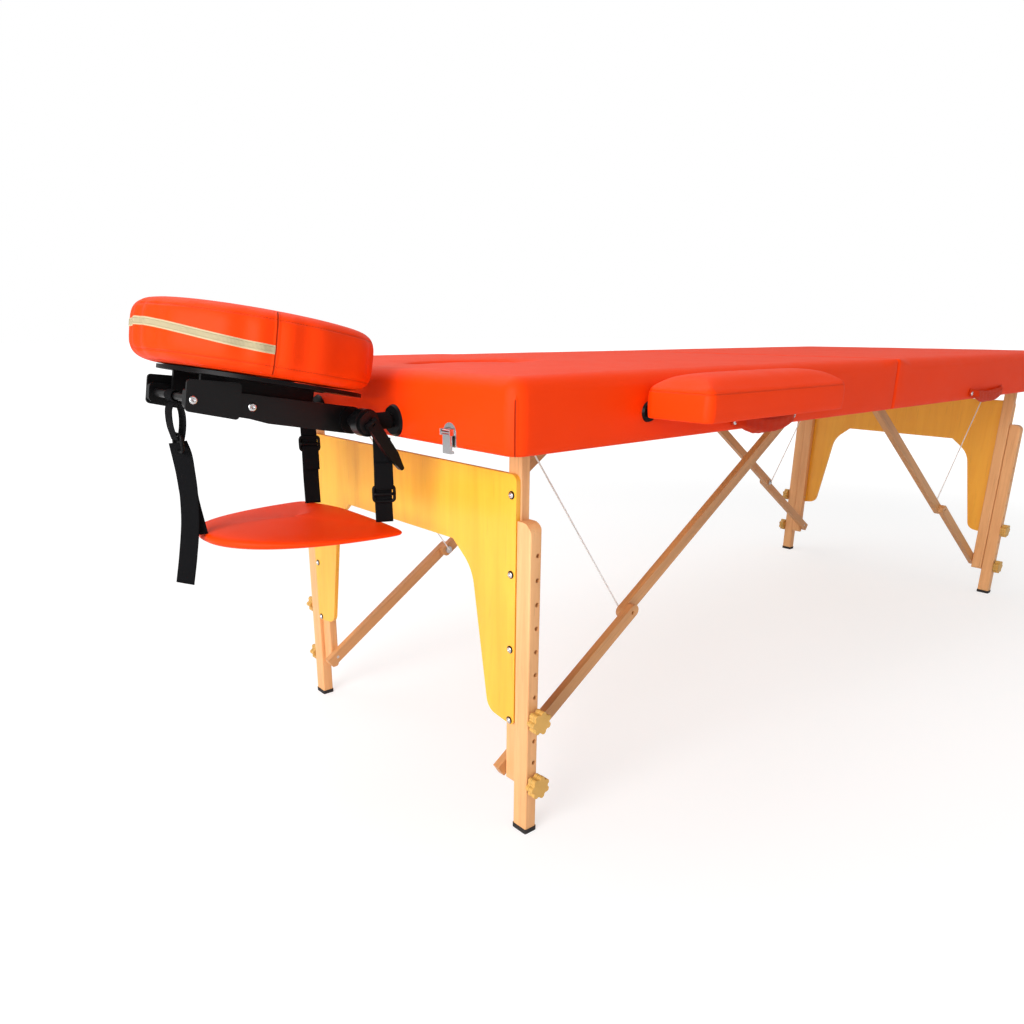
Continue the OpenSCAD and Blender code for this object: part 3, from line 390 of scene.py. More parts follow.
def webbing(name):
    """Woven tape from its own UV map: chevron ribs along it and fine ribs across it."""
    tone = bpy.context.scene.fittings.webbing
    g = Graph(name, Specular_IOR_Level=0.02)
    along, across = g.tape_map()
    chevron = abs((across / 5.5) % 2.0 - 1.0)
    rib = ((along + chevron * 2.6) / 1.3).zigzag(0.5)
    cross = across.zigzag(0.5)
    height = rib * 1.4 + cross * 0.6
    tint = g.mix(rib * 1.2, tone, tuple(min(1, c * 2.6 + 0.002) for c in tone))
    return g.finish(Base_Color=tint, Roughness=0.78 - rib * 0.2, Normal=g.bump(height, 0.0004))


def zip_tape(name):
    """Zip: woven tape at both sides and a row of teeth along the middle, from the UV map."""
    tone = bpy.context.scene.vinyl.zip_tint
    g = Graph(name)
    along, across = g.tape_map()
    tooth = abs((along / 1.4) % 1.0 - 0.5)
    middle = abs(across).below(2.0, 0.5)
    weave = g.noise(g.place((900, 900, 900)), 1.0, 2.0)
    tint = g.mix(middle * tooth.below(0.2, 0.15) * 0.55, tone, shaded(tone, 0.45))
    tint = g.mix(weave * 0.4, tint, shaded(tone, 0.7))
    height = middle * (1 - tooth) * 1.2 + weave * 0.25 + middle
    return g.finish(Base_Color=tint, Roughness=0.6, Normal=g.bump(height, 0.0005))


def finish_of(name):
    """The material of that finish, made the first time that it is asked for.

    Its name has a word in front, because the frame brings materials of its own with plain names.
    """
    name = "table_" + name
    found = bpy.data.materials.get(name)
    if found:
        return found
    wood = bpy.context.scene.wood
    parts = bpy.context.scene.fittings
    light, dark = tuple(wood.beech_light), tuple(wood.beech_dark)
    panel = tuple(wood.veneer_light), tuple(wood.veneer_dark)
    brace = shaded(wood.brace, 1.15), shaded(wood.brace, 0.78)
    knob = tuple(wood.knob)
    makers = {
        "vinyl": lambda: vinyl(name),
        # The covers' vinyl darkened to 0.62 of its colour, a painted shade for the handles
        "vinyl_worn": lambda: vinyl(name, shade=0.62),
        "vinyl_seamed": lambda: vinyl(name, seams=True),
        "vinyl_stitched": lambda: vinyl(name, stitches=True),
        "vinyl_face": lambda: vinyl(name, seams=True, stitches=True),
        "beech_upright": lambda: timber(name, light, dark),
        "beech_rail": lambda: timber(name, light, dark, along=0),
        "beech_brace_head": lambda: timber(name, *brace, turn=(0, BRACE_A, 0), along=0),
        "beech_brace_foot": lambda: timber(name, *brace, turn=(0, -BRACE_A, 0), along=0),
        "panel_veneer": lambda: timber(name, *panel, fine=0.55, gloss=0.30, flecks=0.35),
        "deck_veneer": lambda: timber(name, light, dark, along=0, fine=0.5, gloss=0.6),
        "knob_ply": lambda: ply(name, knob, shaded(knob, 0.62)),
        "webbing": lambda: webbing(name),
        "zip_tape": lambda: zip_tape(name),
        "black_plastic": lambda: plain(
            name, tuple(parts.plastic), 0.0, 0.32, 900.0, 0.00002, Specular_IOR_Level=0.10
        ),
        "black_coat": lambda: plain(name, tuple(parts.coat), rough=0.32, Specular_IOR_Level=0.24),
        "rubber": lambda: plain(name, (0.012, 0.012, 0.012), rough=0.75, grain=500.0, depth=0.0002),
        "zinc": lambda: plain(name, (0.62, 0.62, 0.63), 1.0, 0.30, 400.0, 0.00004, 0.2),
        "nickel": lambda: plain(name, (0.66, 0.66, 0.67), 1.0, 0.24, 300.0, 0.00001, 0.10),
        "cable_sleeve": lambda: plain(name, (0.88, 0.88, 0.87), rough=0.45, grain=1200.0),
    }
    return makers[name.removeprefix("table_")]()


# Mesh helpers


def full_turn(count):
    """That many angles, evenly round a circle."""
    return np.linspace(0, 2 * np.pi, count, endpoint=False)


def blunt(value, power):
    """A value's sign times its size to that power, which makes a sine's swing squarer."""
    return np.sign(value) * np.abs(value) ** power


def arc_path(centre, level, radius, angles):
    """Points round a centre, at angles that go from a level direction up towards Z."""
    level, up = np.array(level), np.array([0, 0, 1])
    swing = np.cos(angles)[:, None] * level + np.sin(angles)[:, None] * up
    return np.array(centre) + radius * swing


def at_height(flat, height):
    """Points in plan with a height, one for all of them or one for each."""
    return np.concatenate([flat, np.broadcast_to(height, len(flat))[:, None]], axis=-1)


def surface(name, points, finish, body, wrap=True, cap=ENDS, marks=None, uv=None):
    """A mesh from a grid of points (rows, columns, 3).

    wrap joins the last column to the first. cap names the rows, "first" or "last", that are closed
    by a fan to their middle. marks are float grids, and uv is a grid of (u, v) in metres.
    """
    rows, cols = points.shape[:2]
    index = np.arange(rows * cols).reshape(rows, cols)
    right = np.roll(index, -1, axis=1) if wrap else index[:, 1:]
    left = index if wrap else index[:, :-1]
    quads = np.stack([left[:-1], right[:-1], right[1:], left[1:]], axis=-1).reshape(-1, 4)
    vertices = points.reshape(-1, 3)
    faces = quads.tolist()
    extra = []
    for end in cap:
        ring = index[0] if end == "first" else index[-1]
        centre = len(vertices) + len(extra)
        extra.append(vertices[ring].mean(axis=0))
        after = np.roll(ring, -1)
        fan = [ring, after] if end == "last" else [after, ring]
        faces += np.stack([*fan, np.full(len(ring), centre)], axis=-1).tolist()
    if extra:
        vertices = np.vstack([vertices, extra])
    mesh = bpy.data.meshes.new(name)
    mesh.from_pydata(vertices.tolist(), [], faces)
    mesh.polygons.foreach_set("use_smooth", np.ones(len(mesh.polygons), bool))
    for key, grid in (marks or {}).items():
        values = np.full(len(vertices), np.max(grid), np.float32)
        values[: rows * cols] = np.asarray(grid, np.float32).reshape(-1)
        mesh.attributes.new(key, "FLOAT", "POINT").data.foreach_set("value", values)
    if uv is not None:
        flat = np.zeros((len(vertices), 2), np.float32)
        flat[: rows * cols] = np.asarray(uv, np.float32).reshape(-1, 2)
        loops = np.zeros(len(mesh.loops), np.int32)
        mesh.loops.foreach_get("vertex_index", loops)
        mesh.uv_layers.new(name="UVMap").data.foreach_set("uv", flat[loops].reshape(-1))
    mesh.update()
    mesh.validate()
    piece = bpy.data.objects.new(name, mesh)
    bpy.context.scene.collection.objects.link(piece)
    piece.data.materials.append(finish_of(finish))
    if body:
        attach(piece, body)
    return piece


def join(name, pieces, body):
    """Joins meshes into one piece that keeps each one's material."""
    for other in bpy.context.view_layer.objects:
        other.select_set(other in pieces)
    bpy.context.view_layer.objects.active = pieces[0]
    bpy.ops.object.join()
    made = bpy.context.view_layer.objects.active
    made.select_set(False)
    made.name = name
    made.data.name = name
    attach(made, body)
    return made


def rounded_outline(lo, hi, radii, step=12 * MM, turns=14):
    """Points and outward normals round a rectangle with its own radius at each corner.

    The corners go round from the low-low one, and each is a quarter circle. Also gives the
    distance run, and each corner's middle.
    """
    corners = np.array([[lo[0], lo[1]], [hi[0], lo[1]], [hi[0], hi[1]], [lo[0], hi[1]]])
    inward = np.array([[1, 1], [-1, 1], [-1, -1], [1, -1]])
    start = np.radians([180, 270, 0, 90])
    spots, normals, middles = [], [], []
    for k in range(4):
        centre = corners[k] + inward[k] * radii[k]
        angle = start[k] + np.linspace(0, np.pi / 2, turns + 1)
        out = np.stack([np.cos(angle), np.sin(angle)], axis=-1)
        spots.append(centre + radii[k] * out)
        normals.append(out)
        middles.append(centre + radii[k] * out[turns // 2])
        after = (k + 1) % 4
        begin = spots[-1][-1]
        finish = corners[after] + inward[after] * radii[after]
        finish = finish + radii[after] * np.array([np.cos(start[after]), np.sin(start[after])])
        count = max(2, int(np.linalg.norm(finish - begin) / step))
        share = np.linspace(0, 1, count + 1)[1:-1, None]
        spots.append(begin + (finish - begin) * share)
        normals.append(np.repeat(out[-1:], count - 1, axis=0))
    spots, normals = np.vstack(spots), np.vstack(normals)
    gaps = np.linalg.norm(np.roll(spots, -1, axis=0) - spots, axis=-1)
    run = np.concatenate([[0], np.cumsum(gaps)[:-1]])
    return spots, normals, run, np.array(middles)


def tube(name, path, radius, finish, closed=False, sides=12, flat=None, guide=None):
    """A tube along a path. Each ring stands square to it, its width as near to the guide as it can.

    flat, if given, is (width, thickness) and makes the section a rounded strip. Without a guide
    the width keeps to the world's Y axis, or nearly to Z where the path runs along Y.
    """
    path = np.asarray(path, float)
    ahead = np.roll(path, -1, axis=0) if closed else np.vstack([path[1:], path[-1:]])
    behind = np.roll(path, 1, axis=0) if closed else np.vstack([path[:1], path[:-1]])
    along = ahead - behind
    along /= np.linalg.norm(along, axis=-1, keepdims=True)
    if guide is None:
        guide = (0.0, 1.0, 0.0) if np.abs(along[:, 1]).max() < 0.9 else (0.3, 0.0, 0.95)
    guide = np.asarray(guide, float)
    side = guide - (along @ guide)[:, None] * along
    side /= np.linalg.norm(side, axis=-1, keepdims=True)
    up = np.cross(along, side)
    angle = full_turn(sides)
    if flat:
        across = flat[0] / 2 * blunt(np.cos(angle), 0.35)
        over = flat[1] / 2 * blunt(np.sin(angle), 0.35)
    else:
        across, over = radius * np.cos(angle), radius * np.sin(angle)
    points = path[:, None] + across[None, :, None] * side[:, None]
    points = points + over[None, :, None] * up[:, None]
    gaps = np.linalg.norm(np.diff(path, axis=0), axis=-1)
    run = np.concatenate([[0], np.cumsum(gaps)])
    uv = np.stack(np.broadcast_arrays(run[:, None], across[None, :]), axis=-1)
    if closed:
        points = np.concatenate([points, points[:1]])
        uv = np.concatenate([uv, uv[:1] + [run[-1] + MM, 0]])
    caps = () if closed else ENDS
    return surface(name, points[:, ::-1], finish, None, cap=caps, uv=uv[:, ::-1])


def curve_through(points, count):
    """A smooth path through the points: a Catmull-Rom curve, even steps of its own parameter."""
    points = np.asarray(points, float)
    padded = np.vstack([2 * points[0] - points[1], points, 2 * points[-1] - points[-2]])
    t = np.linspace(0, len(points) - 1, count)
    k = np.minimum(t.astype(int), len(points) - 2)
    f = (t - k)[:, None]
    a, b, c, d = (padded[k + i] for i in range(4))
    square = 2 * a - 5 * b + 4 * c - d
    cube = 3 * b - a - 3 * c + d
    return 0.5 * (2 * b + (c - a) * f + square * f**2 + cube * f**3)


def soften(loop, reach):
    """A closed loop resampled evenly, each point averaged with its neighbours within that reach.

    The weights are a Gaussian of the distance run, applied to the loop's Fourier terms.
    """
    ends = np.vstack([loop, loop[:1]])
    run = np.concatenate([[0], np.cumsum(np.linalg.norm(np.diff(ends, axis=0), axis=-1))])
    count = 240
    even = np.linspace(0, run[-1], count, endpoint=False)
    flat = np.stack([np.interp(even, run, ends[:, k]) for k in range(loop.shape[1])], axis=-1)
    turns = np.fft.fftfreq(count, run[-1] / count)
    weight = np.exp(-2 * (np.pi * turns * reach) ** 2)
    return np.real(np.fft.ifft(np.fft.fft(flat, axis=0) * weight[:, None], axis=0))


def dome_screw(name, centre, normal, radius, body):
    """A screw head: a shallow dome with a socket in it, turned about its normal."""
    normal = np.asarray(normal, float)
    normal /= np.linalg.norm(normal)
    helper = np.array([0.0, 0.0, 1.0]) if abs(normal[2]) < 0.9 else np.array([1.0, 0.0, 0.0])
    side = np.cross(normal, helper)
    side /= np.linalg.norm(side)
    up = np.cross(normal, side)
    angle = full_turn(20)
    ring = np.cos(angle)[:, None] * side + np.sin(angle)[:, None] * up
    points = np.asarray(centre, float) + radius * SCREW[:, 0, None, None] * ring
    points = points + radius * SCREW[:, 1, None, None] * normal
    return surface(name, points, "nickel", body, cap=("last",))


def on_platform(local):
    """World points from the platform's (out, side, up), which starts at its pivot and leans."""
    out, side, up = local[..., 0], local[..., 1], local[..., 2]
    u = PLATE_U + out * math.cos(SLOPE) - up * math.sin(SLOPE)
    z = PLATE_Z + out * math.sin(SLOPE) + up * math.cos(SLOPE)
    return np.stack([-u, side, z], axis=-1)


def smooth(t):
    """A step from 0 to 1 with level ends."""
    t = np.clip(t, 0, 1)
    return t * t * (3 - 2 * t)


# Operators


class DressPiece:
    """The options that all operators share."""

    bl_options = {"REGISTER", "UNDO"}


class TABLE_OT_wood(DressPiece, bpy.types.Operator):
    """Gives the frame, legs, braces, panels and metalwork their finishes"""

    bl_idname = "massage_table.finishes"
    bl_label = "Wood and metal finishes"

    def execute(self, context):
        rules = [
            ("beech_brace_head", ("head_upper_braces", "head_lower_braces")),
            ("beech_brace_foot", ("foot_upper_braces", "foot_lower_braces")),
            ("panel_veneer", ("head_end_panel", "foot_end_panel")),
            ("deck_veneer", ("head_deck", "foot_deck")),
            ("beech_rail", ("head_frame", "foot_frame")),
            ("nickel", ("latch_plates", "latch_hooks", "latch_catches")),
            ("black_plastic", ("rod_sockets", "cradle_platform", "cradle_lever")),
            ("black_coat", ("cradle_posts", "cradle_arms")),
            ("black_coat", ("near_armrest_frame", "far_armrest_frame")),
            ("cable_sleeve", ("head_cables", "foot_cables")),
        ]
        given = {node: finish for finish, members in rules for node in members}
        endings = {"knob": "knob_ply", "rubber_foot": "rubber", "legs": "beech_upright"}
        endings |= {"leg": "beech_upright", "bolts": "zinc", "brackets": "zinc", "leaves": "zinc"}
        for node, piece in frame["nodes"].items():
            by_end = next((endings[end] for end in endings if node.endswith(end)), "vinyl")
            finish = given.get(node, by_end)
            piece.data.materials.clear()
            piece.data.materials.append(finish_of(finish))
        return {"FINISHED"}


def cover_target(border, hole):
    """Where the cover's top rows end, and the angle there: an ellipse, even in its own angle.

    It is the breathing hole's, or a small one in the middle of a half that has no hole.
    """
    middle, half_u, half_y = (HOLE_U, HOLE_A, HOLE_B) if hole else (HALF_L / 2, 20 * MM, 15 * MM)
    angle = np.arctan2(border[:, 1] / HALF_W, (border[:, 0] - middle) / (HALF_L / 2))
    return np.stack([middle + half_u * np.cos(angle), half_y * np.sin(angle)], axis=-1), angle


def cover_lift(u, y, hole):
    """How far the foam stands over the edge's height.

    A crown, 1 less the fourth power of the distance from the middle both ways, with shallow
    waves. Two Gaussian dips follow the hole's rim, a wide one and a narrow one.
    """
    crown = (1 - (2 * u / HALF_L - 1) ** 4) * (1 - (y / HALF_W) ** 4)
    wave = 0.0007 * np.sin(u * 31 + 2 * np.sin(y * 17)) * np.sin(y * 23 + 1.3 * np.sin(u * 11))
    lift = 0.0032 * np.clip(crown, 0, 1) + wave * np.clip(crown, 0, 1)
    if hole:
        away = np.hypot((u - HOLE_U) / HOLE_A, y / HOLE_B) - 1
        lift -= 0.0030 * np.exp(-((away / 0.22) ** 2)) + 0.0055 * np.exp(-((away / 0.045) ** 2))
    return lift


def cover(name, side, body, hole):
    """One half's vinyl cover, from the hem under the frame, up its side and over the foam.

    Columns run round the outline and rows run inwards. A row is the outline moved inwards by the
    profile's inset, at the profile's height; past the upper edge the rows shrink in a straight line
    to the ellipse of cover_target, lifted by cover_lift.
    """
    edge = bpy.context.scene.vinyl.edge
    fold_corner, end_corner = 7.5 * MM, 22 * MM
    lo, hi = np.array([0.5 * MM, -HALF_W]), np.array([HALF_L, HALF_W])
    radii = (fold_corner, end_corner, end_corner, fold_corner)
    spots, normals, run, middles = rounded_outline(lo, hi, radii)
    total = run[-1] + np.linalg.norm(spots[0] - spots[-1])
    seam = np.full(len(spots), 99.0)
    for middle in middles[1:3]:
        near = np.argmin(np.linalg.norm(spots - middle, axis=-1))
        away = run - run[near]
        away = ((away + total / 2) % total - total / 2) / MM
        seam = np.minimum(seam, np.abs(away))
    # The edge is sharper along the fold, and sharper still at the fold's two corners
    inner = np.abs(spots[:, 0] - lo[0]) < 12 * MM
    inner_edge = np.where(inner, 14 * MM, edge)
    for middle in (middles[0], middles[3]):
        away = np.linalg.norm(spots - middle, axis=-1)
        inner_edge = np.minimum(inner_edge, 6.4 * MM + 0.35 * np.maximum(0, away - 8 * MM))
    hem_top = 3 * MM
    hem = [[0.019, 0.0], [0.019, -0.0012], [0.006, -0.0012], [0.0015, 0.0002], [0.0, hem_top]]
    rings = [(np.full(len(spots), inset), EDGE_Z + height) for inset, height in hem]
    side_top = TOP_Z - inner_edge - EDGE_Z
    for s in np.linspace(0.003, 1.0, 12)[1:]:
        bulge = 1.6 * MM * np.sin(np.pi * s) * (1 - 0.7 * inner)
        rings.append((-bulge, EDGE_Z + hem_top + (side_top - hem_top) * s))
    for a in np.radians(np.linspace(0, 90, 12)[1:]):
        inset = inner_edge * (1 - np.cos(a))
        rings.append((inset, EDGE_Z + side_top + inner_edge * np.sin(a)))
    grid = []
    for inset, height in rings:
        inset = inset[:, None]
        border = np.clip(spots - normals * inset, lo + inset, hi - inset)
        grid.append(at_height(border, height))
    base = len(rings)
    target, angle = cover_target(border, hole)
    shares = 1 - (1 - np.linspace(0, 1, 46)[1:]) ** 1.35 if hole else np.linspace(0, 1, 30)[1:]
    grid += [at_height(border + (target - border) * s, TOP_Z) for s in shares]
    grid = np.array(grid)
    grid[base - 1 :, :, 2] += cover_lift(grid[base - 1 :, :, 0], grid[base - 1 :, :, 1], hole)
    if hole:
        out = np.stack([np.cos(angle), np.sin(angle)], axis=-1)
        last = grid[-1]
        for inset, drop in ((0.0022, 0.003), (0.0030, 0.008), (0.0030, 0.022)):
            ring = at_height(last[:, :2] - out * inset, last[:, 2] - drop)
            grid = np.concatenate([grid, ring[None]])
    # The seams at the end's two corners fade out below the upper edge
    fade = smooth((grid[:, :, 2] - TOP_Z + 1.15 * edge) / (0.5 * edge))
    seam_rows = np.clip(seam + 12 * fade, -FAR, FAR)
    grid[:, :, 0] *= side
    if side < 0:
        grid, seam_rows = grid[:, ::-1], seam_rows[:, ::-1]
    caps = () if hole else ("last",)
    piece = surface(name, grid, "vinyl_seamed", body, cap=caps, marks={"seam": seam_rows})
    return piece


class TABLE_OT_covers(DressPiece, bpy.types.Operator):
    """Makes the two halves' vinyl covers and the breathing hole's plug"""

    bl_idname = "massage_table.covers"
    bl_label = "Vinyl covers"

    def execute(self, context):
        head = cover("head_cover", -1, "head_half", True)
        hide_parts("head_cushion", "head_skirt")
        foot = cover("foot_cover", 1, "foot_half", False)
        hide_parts("foot_cushion", "foot_skirt")
        # The plug is an ellipse, shrunk by each step's share and lifted by its height
        angle = full_turn(160)
        bend = np.radians(np.linspace(0, 90, 9))
        steps = [(1.0, -0.030), (1.0, -0.012), (0.998, -0.008)]
        steps += [(1 - 0.06 * (1 - np.cos(a)), -0.008 + 0.0062 * np.sin(a)) for a in bend[1:]]
        steps += [(s, -0.0018 + 0.0022 * (1 - (s / 0.94) ** 2)) for s in np.linspace(0.9, 0.02, 16)]
        share, height = np.array(steps).T[:, :, None]
        gap = 4 * MM
        u = HOLE_U + (HOLE_A - gap) * share * np.cos(angle)
        y = (HOLE_B - gap) * share * np.sin(angle)
        points = np.stack(np.broadcast_arrays(-u, y, TOP_Z - MM + height), axis=-1)
        plug = surface("breathing_plug_cover", points[:, ::-1], "vinyl", "plug")
        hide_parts("breathing_plug")
        return {"FINISHED"}


def face_surface(arc, turn, lift=0.0):
    """Points of the face cushion at an arc angle and a section angle, in degrees.

    The section is a rounded rectangle made by powers of cosine and sine, swept round the
    horseshoe's middle radius; past its arc the section shrinks as a half circle to each end.
    """
    middle, half = (FACE_OUT + FACE_IN) / 2, (FACE_OUT - FACE_IN) / 2
    past = np.clip((np.abs(arc) - FACE_ARC) / FACE_END, 0, 1)
    shrink = np.sqrt(np.clip(1 - past**2, 0, 1))
    push = past * half * 0.92 * np.sign(arc)
    c, s = np.cos(np.radians(turn)), np.sin(np.radians(turn))
    across = half * blunt(c, 0.50)
    upward = FACE_THICK / 2 * blunt(s, np.where(s > 0, 0.54, 0.50))
    across = across * (1 + lift / half) * shrink
    upward = upward * (1 + 2 * lift / FACE_THICK) * (0.45 + 0.55 * shrink)
    crease = 1.6 * MM * np.sin(np.radians(arc) * 21 + 1.7 * np.sin(np.radians(arc) * 5))
    outer = np.exp(-((np.abs(turn) / 46.0) ** 2))
    radius = middle + across + crease * outer * (1 - past)
    a = np.radians(np.clip(arc, -FACE_ARC, FACE_ARC))
    x = PLATE_C + 8 * MM + radius * np.cos(a) - push * np.sin(a)
    y = radius * np.sin(a) + push * np.cos(a)
    return np.stack([x, y, PLATE_TOP + 1.5 * MM + FACE_THICK / 2 + upward], axis=-1)


class TABLE_OT_face_cushion(DressPiece, bpy.types.Operator):
    """Makes the face cushion and its zip"""

    bl_idname = "massage_table.face_cushion"
    bl_label = "Face cushion"

    def execute(self, context):
        # The rows stand closer together towards the two tips
        bend = np.radians(np.linspace(0, 90, 13))
        begin = -FACE_ARC - FACE_END * np.cos(bend)
        along = np.linspace(-FACE_ARC, FACE_ARC, 260)[1:-1]
        arc = np.concatenate([begin, along, FACE_ARC + FACE_END * np.sin(bend)])
        turn = np.linspace(-180, 180, 72, endpoint=False)
        arcs, turns = np.meshgrid(arc, turn, indexing="ij")
        local = face_surface(arcs, turns)
        seam = np.clip(np.radians(np.abs(arcs) - FACE_SEAM) * FACE_RUN / MM, -FAR, FAR)
        seam = np.where(np.abs(turns) < 62, seam, FAR)
        # Two rows of stitches, near the lower edge and near the upper one, on the outside only.
        # The product of both distances over the gap between the rows is 0 on each of them.
        low, high = 13.5, 65.5
        level = (local[..., 2] - PLATE_TOP) / MM
        stitch = (level - low) * (level - high) / (high - low)
        stitch = np.clip(np.where(np.abs(turns) < 90, stitch, FAR), -FAR, FAR)
        marks = {"seam": seam, "stitch": stitch, "run": np.radians(arcs) * FACE_RUN / MM}
        points = on_platform(local)
        pad = surface("face_cushion_cover", points, "vinyl_face", "cradle_head", marks=marks)
        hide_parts("face_cushion")
        # The zip lies a little over the cover, with its edges sunk in, and sags to both ends
        width = context.scene.vinyl.zip_width
        offset = np.linspace(-0.5, 0.5, 9)
        turn = np.degrees(np.arcsin(blunt(offset * width / (FACE_THICK / 2), 1 / 0.56)))
        arcs, turns = np.meshgrid(np.linspace(-72.6, 72.6, 220), turn, indexing="ij")
        lifts = np.broadcast_to(0.6 * MM - 1.0 * MM * (2 * offset) ** 6, arcs.shape)
        local = face_surface(arcs, turns, lifts)
        local[..., 2] += 6 * MM - 13 * MM * smooth(np.abs(arcs) / FACE_SEAM)
        points = on_platform(local)
        across = np.broadcast_to(offset * width, arcs.shape)
        uv = np.stack([np.radians(arcs) * FACE_RUN, across], axis=-1)
        surface("face_cushion_zip", points, "zip_tape", "cradle_head", wrap=False, cap=(), uv=uv)
        return {"FINISHED"}


class TABLE_OT_arm_sling(DressPiece, bpy.types.Operator):
    """Makes the half-moon arm sling, its straps and their buckles"""

    bl_idname = "massage_table.arm_sling"
    bl_label = "Arm sling and straps"

    def execute(self, context):
        lo, hi = np.array(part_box("arm_sling"))
        u_in, u_out, half_w = -hi[0], -lo[0], hi[1]
        z0, thick = lo[2], hi[2] - lo[2]
        # The rim in plan is a half moon, a cosine to the power 0.9 over a sine, with soft corners.
        # Each row is the rim shrunk towards the centre by its share.
        a = np.radians(np.linspace(-90, 90, 121))
        curve = np.stack([u_in + (u_out - u_in) * np.cos(a) ** 0.9, half_w * np.sin(a)], axis=-1)
        y = np.linspace(half_w, -half_w, 62)[1:-1]
        straight = np.stack([np.full(len(y), u_in), y], axis=-1)
        rim = soften(np.vstack([curve, straight]), 12 * MM)
        rim[:, 0] += 9 * MM * smooth((rim[:, 0] - u_in) / (u_out - u_in))
        tilt = 3.5 * MM + 5.5 * MM * smooth(rim[:, 1] / half_w)
        centre = np.array([u_in + (u_out - u_in) * 0.42, 0])
        # Heights are shares of the thickness, and the taper brings them nearer to the welt's
        # towards both tips
        welt = 0.42
        taper = 0.42 + 0.58 * (1 - (np.abs(rim[:, 1]) / half_w) ** 2.5)
        profile = [(0.03, 0), (0.5, 0), (0.9, 0.02), (0.965, 0.06), (0.99, 0.2), (1.0, welt)]
        profile += [(1.0, 0.55), (0.993, 0.66), (0.975, 0.78), (0.94, 0.87), (0.88, 0.93)]
        rows = [(s, welt + (z - welt) * taper) for s, z in profile]
        for s in np.linspace(0.8, 0.03, 16):
            dome = 0.93 + 0.13 * (1 - s**2)
            rows.append((s, welt + (dome - welt) * (taper * s + 1 - s)))
        points = np.array([at_height(centre + (rim - centre) * s, z) for s, z in rows])
        points[:, :, 0] *= -1
        points[:, :, 2] = z0 + thick * points[:, :, 2] - tilt
        pad = surface("arm_sling_cover", points[:, ::-1], "vinyl", "sling")
        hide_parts("arm_sling")
        self.straps(context, u_out, z0, thick)
        return {"FINISHED"}

    def straps(self, context, u_out, z0, thick):
        """The tapes: one from a loop over each post to the sling, one from the tie bar to its tip."""
        parts = context.scene.fittings
        size = parts.strap_width, parts.strap_thick
        along, over = (1.0, 0.0, 0.0), (0.0, 1.0, 0.0)
        facing, tip_facing = (0.88, -0.47, 0.0), (0.77, -0.64, 0.0)
        pieces = []
        x = -952 * MM
        ring = np.radians(np.linspace(-60, 240, 26))
        for side in (-1, 1):
            y = side * POST_Y
            loop = arc_path((x, y, TILT_Z), over, 10.8 * MM, ring)
            pieces.append(self.tape(f"loop_{side}", loop, size, along))
            drop = [(0, TILT_Z - 0.022), (0, TILT_Z - 0.060), (MM, z0 + thick + 0.03)]
            drop += [(0, z0 + thick / 2 - 4 * MM * side)]
            tail = [(-0.003, TILT_Z - 0.055), (-0.0036, TILT_Z - 0.075), (-0.0036, TILT_Z - 0.092)]
            for name, count, path in (("drop", 30, drop), ("tail", 12, tail)):
                path = curve_through([(x, y + aside, z) for aside, z in path], count)
                pieces.append(self.tape(f"{name}_{side}", path, size, facing))
            level = TILT_Z - (52 * MM if side > 0 else 98 * MM)
            pieces += self.buckle(f"buckle_{side}", (x, y - MM, level), facing, size[0])
        bar = np.array([-1.1855, 0, 0.6103])
        ring = np.radians(np.linspace(-100, 250, 30))
        loop = arc_path(bar, (-1.0, 0.0, 0.0), 6.8 * MM, ring)
        knot = bar + [-0.001, -0.001, -0.058]
        back = [loop[-1], *(bar + [[0.008, 0, -0.02], [0.007, 0, -0.04], [0.001, 0, -0.062]])]
        front = [loop[0], *(bar + [[-0.007, 0, -0.015], [-0.008, 0, -0.035], [-0.004, 0, -0.054]])]
        low = [knot, [-1.1815, 0.001, 0.5148], [-1.1790, 0.001, 0.478]]
        low += [[-(u_out + 12 * MM), 0.001, z0 + thick / 2]]
        tail = [knot, [-1.1825, -0.002, 0.5366], [-1.1812, -0.002, 0.5148]]
        tail += [[-1.1808, -0.0025, 0.489], [-1.1833, -0.003, 0.4498]]
        tail += [[-1.1905, -0.0025, 0.4067], [-1.1985, -0.002, 0.3690]]
        pieces.append(self.tape("tip_loop", loop, size, over))
        tapes = [("back", back, over), ("front", front, over)]
        tapes += [("low", low, tip_facing), ("tail", tail, tip_facing)]
        for name, path, across in tapes:
            pieces.append(self.tape("tip_" + name, curve_through(path, 36), size, across))
        pieces += self.buckle("buckle_tip", knot, over, size[0])
        straps = join("sling_webbing", pieces, "sling")
        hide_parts("sling_straps")

    def tape(self, name, path, size, across):
        """Webbing of that width and thickness along a path. across is where its width points."""
        return tube(name, path, 0, "webbing", sides=16, flat=size, guide=across)

    def buckle(self, name, centre, across, wide):
        """A moulded slide: a rounded frame round the tape and a middle bar."""
        across = np.array(across) / np.linalg.norm(across)
        behind = np.array([across[1], -across[0], 0.0]) * 2.8 * MM
        turn = full_turn(40)
        frame_u = (wide / 2 + 2.2 * MM) * blunt(np.cos(turn), 0.35)
        frame_z = 10.5 * MM * blunt(np.sin(turn), 0.35)
        path = centre + frame_u[:, None] * across + frame_z[:, None] * np.array([0.0, 0.0, 1.0])
        reach = wide / 2 + 2 * MM
        bar = centre + np.linspace(-reach, reach, 8)[:, None] * across + behind
        plastic = "black_plastic"
        ring = tube(name, path, 2.3 * MM, plastic, True, 10)
        return [ring, tube(name + "_bar", bar, 2.1 * MM, plastic, False, 10)]


